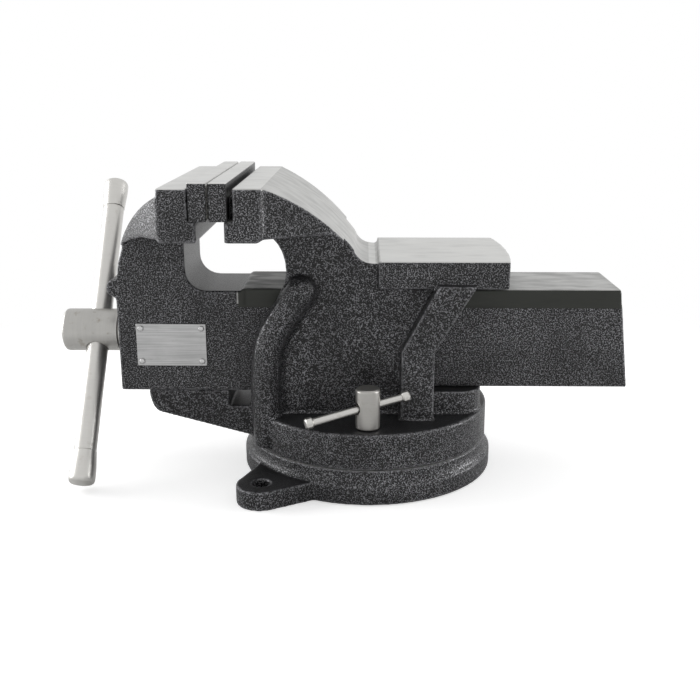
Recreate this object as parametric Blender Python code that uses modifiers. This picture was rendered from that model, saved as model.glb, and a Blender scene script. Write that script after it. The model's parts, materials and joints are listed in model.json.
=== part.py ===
"""Swivel bench vise with an anvil, modelled at real size as separate pieces.

Metres, +Z up. The origin is the centre of the swivel base's underside. The slide bar runs
along +X, the handle is at the -X end, and the jaws are 150 mm wide along Y.
"""

import math

import bmesh
import bpy
from mathutils import Matrix, Vector

MM = 0.001

# Fits
CLEARANCE = 0.3 * MM
SLIDE_CLEARANCE = 0.4 * MM
OVERRUN = 3 * MM

# Swivel base
DISC_RADIUS = 79.5 * MM
BASE_FLARE = 3.4 * MM
BASE_BAND_HEIGHT = 12 * MM
BASE_FOOT_CHAMFER = 1 * MM
BASE_FLOOR = 5 * MM
SLOT_LIP = 7.3 * MM
SLOT_INSET = 13 * MM
HUB_RADIUS = 26 * MM
HUB_RECESS_WIDTH = 22 * MM
HUB_RECESS_DEPTH = 11 * MM
EAR_REACH = 17.1 * MM
EAR_TIP_RADIUS = 15.5 * MM
EAR_ROOT_HALF_WIDTH = 24 * MM
EAR_THICKNESS = 12 * MM
EAR_HOLE_DIAMETER = 11.6 * MM
EAR_ANGLE = math.radians(-130.6)

# Clamps that lock the swivel
LOCK_BOLT_DIAMETER = 10 * MM
LOCK_HEAD_RADIAL = 16 * MM
LOCK_HEAD_LENGTH = 18 * MM
LOCK_HEAD_HEIGHT = 8.4 * MM
LOCK_BOLT_ENGAGEMENT = 8 * MM
LOCK_NUT_DIAMETER = 15 * MM
LOCK_NUT_HEIGHT = 25.5 * MM
LOCK_NUT_CHAMFER = 1 * MM
LOCK_BAR_HEIGHT = 13.6 * MM
LOCK_BAR_DIAMETER = 4.8 * MM
LOCK_BAR_HOLE_DIAMETER = 8.4 * MM
LOCK_BAR_LONG_END = 40 * MM
LOCK_BAR_SHORT_END = 27 * MM
LOCK_BAR_GAP = 1.8 * MM
LOCK_BAR_TILT = math.radians(10)
LOCK_KNOB_DIAMETER = 7 * MM
LOCK_KNOB_LENGTH = 5 * MM
LOCK_TENON_DIAMETER = 3 * MM
LOCK_TENON_LENGTH = 3.5 * MM

# Swivel plate, pedestal and body of the fixed jaw
DISC_HEIGHT = 22.8 * MM
DISC_EDGE_RADIUS = 2 * MM
PEDESTAL_HEIGHT = 14.8 * MM
PEDESTAL_REAR_X = 73 * MM
PEDESTAL_CORNER_RADIUS = 16 * MM
WALL_THICKNESS = 9.9 * MM
BODY_FRONT_X = -69 * MM
BODY_REAR_X = 41 * MM
BODY_SHOULDER_HEIGHT = 38 * MM
SNOUT_FRONT_X = -142 * MM
SNOUT_HALF_WIDTH = 27 * MM
SNOUT_NOSE_HEIGHT = 15.7 * MM
SNOUT_NOSE_DEPTH = 8 * MM
SNOUT_ROOT_DROP = 35 * MM
SNOUT_NOTCH_X = -76 * MM
SNOUT_NOTCH_LENGTH = 14 * MM
SNOUT_NOTCH_DEPTH = 11 * MM
BEAD_RADIUS = 9.5 * MM
BEAD_X = -63.3 * MM
BEAD_STAND_OFF = 2.7 * MM
BEAD_FOOT_RISE = 3 * MM
BEAD_TOP_X = -41 * MM
BEAD_TOP_RISE = 1.8 * MM
BEAD_STEP_SHIFT = 3.3 * MM
BEAD_STEP_RADIUS = 10 * MM
BEAD_STEP_SINK = 5 * MM
RIB_FRONT_X = 20.5 * MM
RIB_WIDTH = 20.5 * MM
RIB_DEPTH = 12.7 * MM
RIB_LEAN = 25 * MM
RIB_LEAN_HEIGHT = 38 * MM

# Anvil
ANVIL_FRONT_X = 6.3 * MM
ANVIL_LENGTH = 79.5 * MM
ANVIL_REAR_BULGE = 3.5 * MM
ANVIL_HALF_WIDTH = 46.6 * MM
ANVIL_THICKNESS = 17.4 * MM
ANVIL_UNDERSIDE_RISE = 3.4 * MM
VALLEY_DEPTH = 2.6 * MM

# Slide bar and body of the moving jaw
BEAM_HALF_WIDTH = 30 * MM
BEAM_HEIGHT = 63.6 * MM
BEAM_REAR_X = 158.4 * MM
BEAM_REAR_DRAFT = 7.6 * MM
RAIL_FRONT_X = -78.5 * MM
RAIL_HEIGHT = 11.7 * MM
RAIL_INSET = 0.9 * MM
RAIL_STEP = 1.6 * MM
BEAM_TOP_WALL = 18 * MM
BEAM_SIDE_WALL = 10.5 * MM
HEAD_FRONT_X = -159 * MM
HEAD_FRONT_WALL = 20 * MM
HEAD_DROP = 3.4 * MM
THROAT_FACE_X = -114.7 * MM
THROAT_FILLET_RADIUS = 13.3 * MM
BUMP_RADIUS = 5.9 * MM

# Jaws
JAW_WIDTH = 150 * MM
JAW_FACE_X = -91.8 * MM
JAW_TOP_RISE = 67.1 * MM
BLOCK_HEIGHT = 31.2 * MM
MOVING_BLOCK_DEPTH = 17.6 * MM
FIXED_BLOCK_DEPTH = 16.2 * MM
LEDGE_DEPTH = 5.2 * MM
FIXED_PAD_DEPTH = 2.9 * MM
PAD_END_MARGIN = 7 * MM
PAD_EDGE_MARGIN = 5 * MM
THROAT_BACK_X = -50.4 * MM
THROAT_BACK_RISE = 13 * MM
FLARE_STEP = 4.6 * MM
PLATE_THICKNESS = 11 * MM
PLATE_HEIGHT = 22 * MM
PLATE_PROUD = 3.2 * MM
PLATE_SCREW_SPACING = 96 * MM
PLATE_SCREW_HEAD_DIAMETER = 12 * MM
PLATE_SCREW_HEAD_HEIGHT = 6 * MM
PLATE_SCREW_DIAMETER = 7 * MM
PLATE_SCREW_LENGTH = 16 * MM
PLATE_SCREW_SOCKET_DIAMETER = 6 * MM
PLATE_SCREW_SOCKET_DEPTH = 3.5 * MM

# Spindle and what holds it
SPINDLE_RISE = 29.3 * MM
SPINDLE_HEAD_DIAMETER = 28 * MM
SPINDLE_HEAD_LENGTH = 37 * MM
SPINDLE_HEAD_CHAMFER = 2.5 * MM
SPINDLE_HANDLE_SETBACK = 15.3 * MM
SPINDLE_JOURNAL_DIAMETER = 18 * MM
SPINDLE_SCREW_DIAMETER = 22 * MM
SPINDLE_REAR_X = 114 * MM
FRONT_BOSS_DIAMETER = 34 * MM
FRONT_BOSS_DEPTH = 2 * MM
THRUST_WASHER_DIAMETER = 27 * MM
THRUST_WASHER_THICKNESS = 2.4 * MM
COLLAR_DIAMETER = 27 * MM
COLLAR_LENGTH = 12 * MM
COLLAR_PIN_DIAMETER = 5 * MM
NUT_FRONT_X = -63 * MM
NUT_LENGTH = 42 * MM
NUT_HALF_WIDTH = 17 * MM
NUT_HEIGHT = 43.5 * MM
NUT_BOLT_DIAMETER = 9 * MM
NUT_BOLT_DEPTH = 11 * MM
NUT_BOLT_HEAD_DIAMETER = 15 * MM
NUT_BOLT_HEAD_HEIGHT = 7 * MM
PIVOT_DIAMETER = 14 * MM
PIVOT_DEPTH = 14 * MM
PIVOT_HEAD_DIAMETER = 24 * MM
PIVOT_HEAD_HEIGHT = 9 * MM
PIVOT_WASHER_DIAMETER = 30 * MM
PIVOT_WASHER_THICKNESS = 2.5 * MM

# Handle
HANDLE_DIAMETER = 14 * MM
HANDLE_LENGTH = 219.4 * MM
HANDLE_OFFSET = 4.3 * MM
HANDLE_LEAN = math.radians(38)
HANDLE_KNOB_DIAMETER = 16.5 * MM
HANDLE_KNOB_LENGTH = 21 * MM
HANDLE_KNOB_CHAMFER = 1.2 * MM
HANDLE_TENON_DIAMETER = 10 * MM
HANDLE_TENON_LENGTH = 15 * MM

# Name plate
NAME_PLATE_LENGTH = 44.5 * MM
NAME_PLATE_HEIGHT = 27.5 * MM
NAME_PLATE_THICKNESS = 0.8 * MM
NAME_PLATE_SETBACK = 11.7 * MM
NAME_PLATE_RISE = 13.5 * MM
RIVET_INSET = 3 * MM
RIVET_HEAD_DIAMETER = 3.8 * MM
RIVET_HEAD_HEIGHT = 0.9 * MM
RIVET_SHANK_DIAMETER = 2 * MM
RIVET_SHANK_LENGTH = 5 * MM

# Levels and places worked out from the sizes above
BASE_RADIUS = DISC_RADIUS + BASE_FLARE
SLOT_RADIUS = DISC_RADIUS - SLOT_INSET
CHAMBER_TOP = BASE_FLOOR + LOCK_HEAD_HEIGHT + 2 * CLEARANCE
BASE_TOP = CHAMBER_TOP + SLOT_LIP
DISC_BOTTOM = BASE_TOP + CLEARANCE
DISC_TOP = DISC_BOTTOM + DISC_HEIGHT
PEDESTAL_TOP = DISC_TOP + PEDESTAL_HEIGHT
BEAM_BOTTOM = PEDESTAL_TOP + CLEARANCE
RAIL_TOP = BEAM_BOTTOM + BEAM_HEIGHT
RAIL_BOTTOM = RAIL_TOP - RAIL_HEIGHT
CHANNEL_TOP = RAIL_TOP + SLIDE_CLEARANCE
ANVIL_BOTTOM = RAIL_TOP + ANVIL_UNDERSIDE_RISE
ANVIL_TOP = ANVIL_BOTTOM + ANVIL_THICKNESS
JAW_TOP = RAIL_TOP + JAW_TOP_RISE
BLOCK_BOTTOM = JAW_TOP - BLOCK_HEIGHT
PLATE_TOP = JAW_TOP + PLATE_PROUD
PLATE_BOTTOM = PLATE_TOP - PLATE_HEIGHT
LEDGE_TOP = PLATE_BOTTOM - CLEARANCE
SCREW_Z = (PLATE_BOTTOM + JAW_TOP) / 2
HALF_JAW = JAW_WIDTH / 2
WALL_Y = BEAM_HALF_WIDTH + SLIDE_CLEARANCE + WALL_THICKNESS
MOVING_BLOCK_FACE = JAW_FACE_X - PLATE_THICKNESS - 1.5 * CLEARANCE
MOVING_BLOCK_FRONT = MOVING_BLOCK_FACE - MOVING_BLOCK_DEPTH
FIXED_PAD_FACE = JAW_FACE_X + PLATE_THICKNESS + 1.5 * CLEARANCE
FIXED_BLOCK_FACE = FIXED_PAD_FACE + FIXED_PAD_DEPTH
FIXED_BLOCK_REAR = FIXED_BLOCK_FACE + FIXED_BLOCK_DEPTH
SPINDLE_Z = BEAM_BOTTOM + SPINDLE_RISE
BOSS_FACE = HEAD_FRONT_X - FRONT_BOSS_DEPTH
SHOULDER_X = BOSS_FACE - THRUST_WASHER_THICKNESS - 2 * CLEARANCE
SPINDLE_FRONT_X = SHOULDER_X - SPINDLE_HEAD_LENGTH
HANDLE_X = SHOULDER_X - SPINDLE_HANDLE_SETBACK
FRONT_WALL_REAR = HEAD_FRONT_X + HEAD_FRONT_WALL
HEAD_BOTTOM = BEAM_BOTTOM - HEAD_DROP
HEAD_REAR_X = BODY_FRONT_X - SLIDE_CLEARANCE
SNOUT_TOP = HEAD_BOTTOM - 2 * CLEARANCE
BEAM_CAVITY_TOP = RAIL_TOP - BEAM_TOP_WALL
BEAM_CAVITY_HALF = BEAM_HALF_WIDTH - BEAM_SIDE_WALL
LOCK_BAR_Z = DISC_TOP + LOCK_BAR_HEIGHT
LOCK_BAR_SWING = SLOT_RADIUS - WALL_Y - RIB_DEPTH - LOCK_KNOB_DIAMETER / 2 - LOCK_BAR_GAP
LOCK_BAR_YAW = math.asin(LOCK_BAR_SWING / (LOCK_BAR_SHORT_END * math.cos(LOCK_BAR_TILT)))

IRON = ("hammertone iron", (0.030, 0.031, 0.034), 0.42, 0.35)
MACHINED = ("machined iron", (0.42, 0.42, 0.41), 0.38, 0.9)
STEEL = ("satin steel", (0.45, 0.44, 0.42), 0.34, 1.0)
DARK_STEEL = ("dark steel", (0.10, 0.10, 0.10), 0.45, 0.9)
PLATE_FINISH = ("satin aluminium", (0.66, 0.66, 0.65), 0.35, 1.0)

X_AXIS = Vector((1, 0, 0))
Z_AXIS = Vector((0, 0, 1))


def clear_scene():
    """Remove the objects that the scene starts with."""
    for old in list(bpy.data.objects):
        bpy.data.objects.remove(old, do_unlink=True)


def make_collection(name):
    """Link a new collection under the scene."""
    made = bpy.data.collections.new(name)
    bpy.context.scene.collection.children.link(made)
    return made


def make_material(finish):
    """Return the Principled material of one finish, made once."""
    name, colour, roughness, metallic = finish
    material = bpy.data.materials.get(name)
    if material is None:
        material = bpy.data.materials.new(name)
        material.use_nodes = True
        shader = material.node_tree.nodes["Principled BSDF"]
        shader.inputs["Base Color"].default_value = (*colour, 1)
        shader.inputs["Roughness"].default_value = roughness
        shader.inputs["Metallic"].default_value = metallic
    return material


def place(name, mesh, group):
    """Put a mesh into a collection as an object."""
    made = bpy.data.objects.new(name, mesh)
    group.objects.link(made)
    return made


def bake(shape):
    """Turn a curve or a stack of modifiers into a plain welded mesh."""
    depsgraph = bpy.context.evaluated_depsgraph_get()
    mesh = bpy.data.meshes.new_from_object(shape.evaluated_get(depsgraph))
    mesh.transform(shape.matrix_world)
    work = bmesh.new()
    work.from_mesh(mesh)
    bmesh.ops.remove_doubles(work, verts=work.verts, dist=CLEARANCE / 30)
    bmesh.ops.recalc_face_normals(work, faces=work.faces)
    work.to_mesh(mesh)
    work.free()
    name, group = shape.name, shape.users_collection[0]
    bpy.data.objects.remove(shape, do_unlink=True)
    return place(name, mesh, group)


def finish(shape, look, group):
    """Give a finished piece its material, its shading and its collection."""
    shape.data.materials.clear()
    shape.data.materials.append(make_material(look))
    shape.data.shade_smooth()
    shape.data.set_sharp_from_angle(angle=math.radians(35))
    for old in list(shape.users_collection):
        old.objects.unlink(shape)
    group.objects.link(shape)
    return shape


def box(name, low, high):
    """A box between two corners."""
    low, high = Vector(low), Vector(high)
    work = bmesh.new()
    bmesh.ops.create_cube(work, size=1)
    size = high - low
    bmesh.ops.transform(work, matrix=Matrix.Diagonal((*size, 1)), verts=work.verts)
    bmesh.ops.translate(work, vec=(low + high) / 2, verts=work.verts)
    mesh = bpy.data.meshes.new(name)
    work.to_mesh(mesh)
    work.free()
    return place(name, mesh, CUTTERS)


def rod(name, start, end, diameter, segments=32):
    """A cylinder between two points."""
    start, end = Vector(start), Vector(end)
    work = bmesh.new()
    bmesh.ops.create_cone(work, cap_ends=True, segments=segments, radius1=diameter / 2,
                          radius2=diameter / 2, depth=(end - start).length)
    turn = Z_AXIS.rotation_difference(end - start).to_matrix().to_4x4()
    bmesh.ops.transform(work, matrix=Matrix.Translation((start + end) / 2) @ turn, verts=work.verts)
    mesh = bpy.data.meshes.new(name)
    work.to_mesh(mesh)
    work.free()
    return place(name, mesh, CUTTERS)


def ball(name, centre, radius, segments=20):
    """A sphere."""
    work = bmesh.new()
    bmesh.ops.create_uvsphere(work, u_segments=segments, v_segments=segments // 2, radius=radius)
    bmesh.ops.translate(work, vec=centre, verts=work.verts)
    mesh = bpy.data.meshes.new(name)
    work.to_mesh(mesh)
    work.free()
    return place(name, mesh, CUTTERS)


def turned(name, profile, origin=(0, 0, 0), axis=Z_AXIS, segments=32):
    """A turned piece: (radius, height) points from top to bottom, spun about an axis."""
    mesh = bpy.data.meshes.new(name)
    edges = [(i, i + 1) for i in range(len(profile) - 1)]
    mesh.from_pydata([(radius, 0, height) for radius, height in profile], edges, [])
    shape = place(name, mesh, CUTTERS)
    turn = Z_AXIS.rotation_difference(Vector(axis)).to_matrix().to_4x4()
    shape.matrix_world = Matrix.Translation(origin) @ turn
    screw = shape.modifiers.new("Turn", 'SCREW')
    screw.steps = segments
    screw.render_steps = segments
    screw.use_merge_vertices = True
    screw.merge_threshold = CLEARANCE / 30
    bpy.context.view_layer.update()
    return bake(shape)


def slab(name, outline, low, high, plane="XZ"):
    """A flat outline in the XZ or XY plane, given thickness between two levels."""
    curve = bpy.data.curves.new(name, 'CURVE')
    curve.dimensions = '2D'
    curve.fill_mode = 'BOTH'
    curve.extrude = (high - low) / 2
    spline = curve.splines.new('POLY')
    spline.points.add(len(outline) - 1)
    for point, (across, along) in zip(spline.points, outline):
        point.co = (across, along, 0, 1)
    spline.use_cyclic_u = True
    shape = place(name, curve, CUTTERS)
    middle = (high + low) / 2
    if plane == "XZ":
        shape.matrix_world = Matrix.Translation((0, middle, 0)) @ Matrix.Rotation(math.radians(90), 4, 'X')
    else:
        shape.matrix_world = Matrix.Translation((0, 0, middle))
    bpy.context.view_layer.update()
    return bake(shape)


def tube(name, points, radius):
    """A round bar bent smoothly through points."""
    curve = bpy.data.curves.new(name, 'CURVE')
    curve.dimensions = '3D'
    curve.bevel_depth = radius
    curve.bevel_resolution = 3
    curve.use_fill_caps = True
    curve.resolution_u = 4
    spline = curve.splines.new('BEZIER')
    spline.bezier_points.add(len(points) - 1)
    for knot, point in zip(spline.bezier_points, points):
        knot.co = point
        knot.handle_left_type = 'AUTO'
        knot.handle_right_type = 'AUTO'
    shape = place(name, curve, CUTTERS)
    bpy.context.view_layer.update()
    return bake(shape)


def combine(target, tool, operation):
    """Join, cut or intersect with a modifier, and keep the tool as a hidden guide."""
    tool.hide_render = True
    tool.display_type = 'WIRE'
    modifier = target.modifiers.new(tool.name, 'BOOLEAN')
    modifier.operation = operation
    modifier.solver = 'EXACT'
    modifier.object = tool
    return target


def join(target, *tools):
    """Add shapes to a piece."""
    for tool in tools:
        combine(target, tool, 'UNION')
    return target


def cut(target, *tools):
    """Take shapes away from a piece."""
    for tool in tools:
        combine(target, tool, 'DIFFERENCE')
    return target


def arc(centre, radii, start, end, steps):
    """Points along an ellipse's arc, angles in degrees."""
    points = []
    for step in range(steps + 1):
        angle = math.radians(start + (end - start) * step / steps)
        points.append((centre[0] + radii[0] * math.cos(angle), centre[1] + radii[1] * math.sin(angle)))
    return points


def bow(start, end, sagitta, steps):
    """Points along a circular arc from start to end that bulges to the left by the sagitta."""
    start, end = Vector(start), Vector(end)
    chord = end - start
    left = Vector((-chord.y, chord.x)).normalized()
    half = chord.length / 2
    radius = (half * half + sagitta * sagitta) / (2 * sagitta)
    centre = (start + end) / 2 - left * (radius - sagitta)
    sweep = 2 * math.asin(half / radius)
    first = start - centre
    points = []
    for step in range(steps + 1):
        angle = -sweep * step / steps
        turned_x = first.x * math.cos(angle) - first.y * math.sin(angle)
        turned_y = first.x * math.sin(angle) + first.y * math.cos(angle)
        points.append((centre.x + turned_x, centre.y + turned_y))
    return points


def mirrored(outline):
    """Close an outline whose points run along +Y by its mirror image."""
    return outline + [(x, -y) for x, y in reversed(outline)]


def make_swivel_base():
    """The lower casting: hub, ring with its T-slot and two bolt ears."""
    neck = LOCK_BOLT_DIAMETER / 2 + CLEARANCE
    chamber_in = SLOT_RADIUS - LOCK_HEAD_RADIAL / 2 - CLEARANCE
    chamber_out = math.hypot(SLOT_RADIUS + LOCK_HEAD_RADIAL / 2, LOCK_HEAD_LENGTH / 2) + CLEARANCE
    bore = PIVOT_DIAMETER / 2 + CLEARANCE
    bore_end = BASE_TOP - PIVOT_DEPTH - CLEARANCE
    flare = [(BASE_RADIUS - BASE_FLARE * math.cos(math.radians(angle)),
              BASE_BAND_HEIGHT + (BASE_TOP - BASE_BAND_HEIGHT) * (1 - math.sin(math.radians(angle))))
             for angle in (0, 22, 45, 68, 90)]
    profile = [(0, bore_end), (bore, bore_end), (bore, BASE_TOP), (SLOT_RADIUS - neck, BASE_TOP),
               (SLOT_RADIUS - neck, CHAMBER_TOP), (chamber_in, CHAMBER_TOP), (chamber_in, BASE_FLOOR),
               (chamber_out, BASE_FLOOR), (chamber_out, CHAMBER_TOP),
               (SLOT_RADIUS + neck, CHAMBER_TOP), (SLOT_RADIUS + neck, BASE_TOP)]
    profile += flare
    profile += [(BASE_RADIUS, BASE_FOOT_CHAMFER), (BASE_RADIUS - BASE_FOOT_CHAMFER, 0),
                (HUB_RADIUS + HUB_RECESS_WIDTH, 0), (HUB_RADIUS + HUB_RECESS_WIDTH, HUB_RECESS_DEPTH),
                (HUB_RADIUS, HUB_RECESS_DEPTH), (HUB_RADIUS, 0), (0, 0)]
    base = turned("swivel_base", profile, segments=72)
    for index, angle in enumerate((EAR_ANGLE, EAR_ANGLE + math.pi)):
        bolt = BASE_RADIUS + EAR_REACH
        root = (BASE_RADIUS + chamber_out) / 2 - BASE_FOOT_CHAMFER
        lug = arc((bolt, 0), (EAR_TIP_RADIUS, EAR_TIP_RADIUS), -80, 80, 12)
        outline = [(root, -EAR_ROOT_HALF_WIDTH)] + lug + [(root, EAR_ROOT_HALF_WIDTH)]
        ear = slab(f"ear_{index}", outline, 0, EAR_THICKNESS, plane="XY")
        hole = rod(f"ear_hole_{index}", (bolt, 0, -OVERRUN), (bolt, 0, EAR_THICKNESS + OVERRUN),
                   EAR_HOLE_DIAMETER, 24)
        for piece in (ear, hole):
            piece.data.transform(Matrix.Rotation(angle, 4, 'Z'))
        join(base, ear)
        cut(base, hole)
    return finish(base, IRON, PARTS)


def flare_top():
    """The crown of the fixed jaw: a long convex curve that ends in the valley before the anvil."""
    valley = ANVIL_TOP - VALLEY_DEPTH
    start = (FIXED_BLOCK_REAR, JAW_TOP)
    brow = (ANVIL_FRONT_X - ANVIL_THICKNESS * 0.88, valley + ANVIL_THICKNESS * 0.52)
    foot = (ANVIL_FRONT_X - ANVIL_THICKNESS * 0.2, valley)
    return bow(start, brow, (JAW_TOP - valley) * 0.09, 12) + bow(brow, foot, -ANVIL_THICKNESS * 0.15, 4)[1:]


def make_fixed_head():
    """The fixed jaw's block and its crown, wide at the jaw and narrow at the anvil."""
    top = flare_top()
    underside = BLOCK_BOTTOM + LEDGE_DEPTH / 3
    tip = next(point for point in reversed(top) if point[1] > underside - BLOCK_HEIGHT / 4)
    outline = [(FIXED_BLOCK_FACE, BLOCK_BOTTOM), (FIXED_BLOCK_FACE, JAW_TOP)]
    outline += [point for point in top if point[1] >= tip[1]]
    outline += [(tip[0] - BLOCK_HEIGHT * 0.19, BLOCK_BOTTOM), (tip[0] - BLOCK_HEIGHT * 0.37, underside),
                (FIXED_BLOCK_REAR, underside), (FIXED_BLOCK_REAR - LEDGE_DEPTH / 2, BLOCK_BOTTOM)]
    head = slab("fixed_head", outline, -HALF_JAW, HALF_JAW)
    plan = [(FIXED_BLOCK_FACE - OVERRUN, HALF_JAW), (FIXED_BLOCK_REAR, HALF_JAW),
            (FIXED_BLOCK_REAR + FLARE_STEP / 4, HALF_JAW - FLARE_STEP / 2),
            (FIXED_BLOCK_REAR + FLARE_STEP, HALF_JAW - FLARE_STEP),
            (ANVIL_FRONT_X, WALL_Y)]
    combine(head, slab("fixed_plan", mirrored(plan), BLOCK_BOTTOM - BLOCK_HEIGHT,
                       JAW_TOP + OVERRUN, "XY"), 'INTERSECT')
    ledge = box("fixed_ledge", (FIXED_BLOCK_FACE - LEDGE_DEPTH, -HALF_JAW, BLOCK_BOTTOM),
                (FIXED_BLOCK_FACE + OVERRUN, HALF_JAW, LEDGE_TOP))
    pad = box("fixed_pad", (FIXED_PAD_FACE, PAD_END_MARGIN - HALF_JAW, LEDGE_TOP - OVERRUN),
              (FIXED_BLOCK_FACE + OVERRUN, HALF_JAW - PAD_END_MARGIN, JAW_TOP - PAD_EDGE_MARGIN))
    return bake(join(head, ledge, pad))


def make_fixed_core():
    """The body between the disc and the crown, as wide as the slide bar and its walls."""
    throat_mid = RAIL_TOP + THROAT_BACK_RISE
    bowl = arc((BODY_FRONT_X + FLARE_STEP / 2, throat_mid),
               (THROAT_BACK_X - BODY_FRONT_X - FLARE_STEP / 2, BLOCK_BOTTOM - throat_mid + OVERRUN / 3),
               90, 0, 6)
    shoulder = DISC_TOP + BODY_SHOULDER_HEIGHT
    slope = throat_mid - shoulder
    step = THROAT_BACK_X - BODY_FRONT_X
    front = [(THROAT_BACK_X - step * 0.06, throat_mid - slope * 0.14),
             (THROAT_BACK_X - step * 0.30, throat_mid - slope * 0.30),
             (THROAT_BACK_X - step * 0.72, throat_mid - slope * 0.62),
             (THROAT_BACK_X - step * 0.92, throat_mid - slope * 0.82),
             (BODY_FRONT_X, shoulder)]
    crown = [point for point in flare_top() if point[1] < JAW_TOP - BLOCK_HEIGHT * 0.3]
    outline = [(BODY_FRONT_X, DISC_TOP - OVERRUN)] + front[::-1] + bowl[::-1]
    outline += [(bowl[0][0], JAW_TOP - BLOCK_HEIGHT * 0.3)] + crown
    outline += [(ANVIL_FRONT_X + OVERRUN, ANVIL_TOP - VALLEY_DEPTH),
                (BODY_REAR_X, ANVIL_BOTTOM + OVERRUN), (BODY_REAR_X, DISC_TOP - OVERRUN)]
    return slab("fixed_core", outline, -WALL_Y, WALL_Y)


def make_anvil():
    """The flat anvil, with a rear edge that bulges slightly."""
    rear = ANVIL_FRONT_X + ANVIL_LENGTH
    edge = bow((rear, ANVIL_HALF_WIDTH), (rear, -ANVIL_HALF_WIDTH), ANVIL_REAR_BULGE, 10)
    outline = [(ANVIL_FRONT_X, -ANVIL_HALF_WIDTH), (ANVIL_FRONT_X, ANVIL_HALF_WIDTH)] + edge
    return slab("anvil", outline, ANVIL_BOTTOM, ANVIL_TOP, "XY")


def make_pedestal():
    """The floor under the slide bar, with a rounded rear end."""
    centre = PEDESTAL_REAR_X - PEDESTAL_CORNER_RADIUS
    corner = arc((centre, WALL_Y - PEDESTAL_CORNER_RADIUS),
                 (PEDESTAL_CORNER_RADIUS, PEDESTAL_CORNER_RADIUS), 90, 0, 6)
    outline = mirrored([(BODY_FRONT_X, WALL_Y)] + corner)
    return slab("pedestal", outline, DISC_TOP - OVERRUN, PEDESTAL_TOP, "XY")


def make_snout():
    """The tongue that reaches forward under the moving jaw."""
    notch_floor = SNOUT_TOP - SNOUT_NOTCH_DEPTH
    nose = arc((SNOUT_FRONT_X + SNOUT_NOSE_DEPTH, SNOUT_TOP), (SNOUT_NOSE_DEPTH, SNOUT_NOSE_HEIGHT), 180, 270, 6)
    outline = nose + [(SNOUT_NOTCH_X, PEDESTAL_TOP - SNOUT_ROOT_DROP),
                      (BODY_FRONT_X + OVERRUN * 2, DISC_BOTTOM + OVERRUN),
                      (BODY_FRONT_X + OVERRUN * 2, SNOUT_TOP),
                      (SNOUT_NOTCH_X, SNOUT_TOP), (SNOUT_NOTCH_X, notch_floor),
                      (SNOUT_NOTCH_X - SNOUT_NOTCH_LENGTH, notch_floor),
                      (SNOUT_NOTCH_X - SNOUT_NOTCH_LENGTH, SNOUT_TOP)]
    return slab("snout", outline, -SNOUT_HALF_WIDTH, SNOUT_HALF_WIDTH)


def make_bead(side):
    """The round rib on one side, which climbs from the disc and leans back over the slide bar."""
    foot = DISC_BOTTOM + BEAD_FOOT_RISE
    top = ANVIL_BOTTOM - BEAD_TOP_RISE
    shoulder = DISC_TOP + BODY_SHOULDER_HEIGHT
    rise, run = top - shoulder, BEAD_TOP_X - BEAD_X
    path = [(BEAD_X, foot), (BEAD_X, shoulder - rise * 0.1), (BEAD_X + run * 0.13, shoulder + rise * 0.28),
            (BEAD_X + run * 0.47, shoulder + rise * 0.60), (BEAD_TOP_X, top)]
    y = side * (WALL_Y + BEAD_STAND_OFF)
    step_y = side * (WALL_Y - BEAD_STEP_SINK)
    shift = BEAD_STEP_SHIFT
    ends = "near" if side < 0 else "far"
    bead = tube(f"bead_{ends}", [(x, y, z) for x, z in path], BEAD_RADIUS)
    step = tube(f"bead_step_{ends}",
                [(x + shift, step_y, z + (DISC_TOP - foot if i == 0 else 0)) for i, (x, z) in enumerate(path)],
                BEAD_STEP_RADIUS)
    cap = ball(f"bead_cap_{ends}", (BEAD_TOP_X, y, top), BEAD_RADIUS)
    step_cap = ball(f"bead_step_cap_{ends}", (BEAD_TOP_X + shift, step_y, top), BEAD_STEP_RADIUS)
    return bead, cap, step, step_cap


def make_rib(side):
    """The flat rib on one side, upright on the disc and leaning back to the anvil."""
    lean_z = ANVIL_BOTTOM - RIB_LEAN_HEIGHT
    rear = RIB_FRONT_X + RIB_WIDTH
    outline = [(RIB_FRONT_X, DISC_TOP - OVERRUN), (RIB_FRONT_X, lean_z),
               (RIB_FRONT_X + RIB_LEAN - OVERRUN, ANVIL_BOTTOM + OVERRUN),
               (rear + RIB_LEAN, ANVIL_BOTTOM + OVERRUN), (rear, lean_z), (rear, DISC_TOP - OVERRUN)]
    inner, outer = WALL_Y - OVERRUN, WALL_Y + RIB_DEPTH
    low, high = (inner, outer) if side > 0 else (-outer, -inner)
    return slab("rib_far" if side > 0 else "rib_near", outline, low, high)


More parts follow.
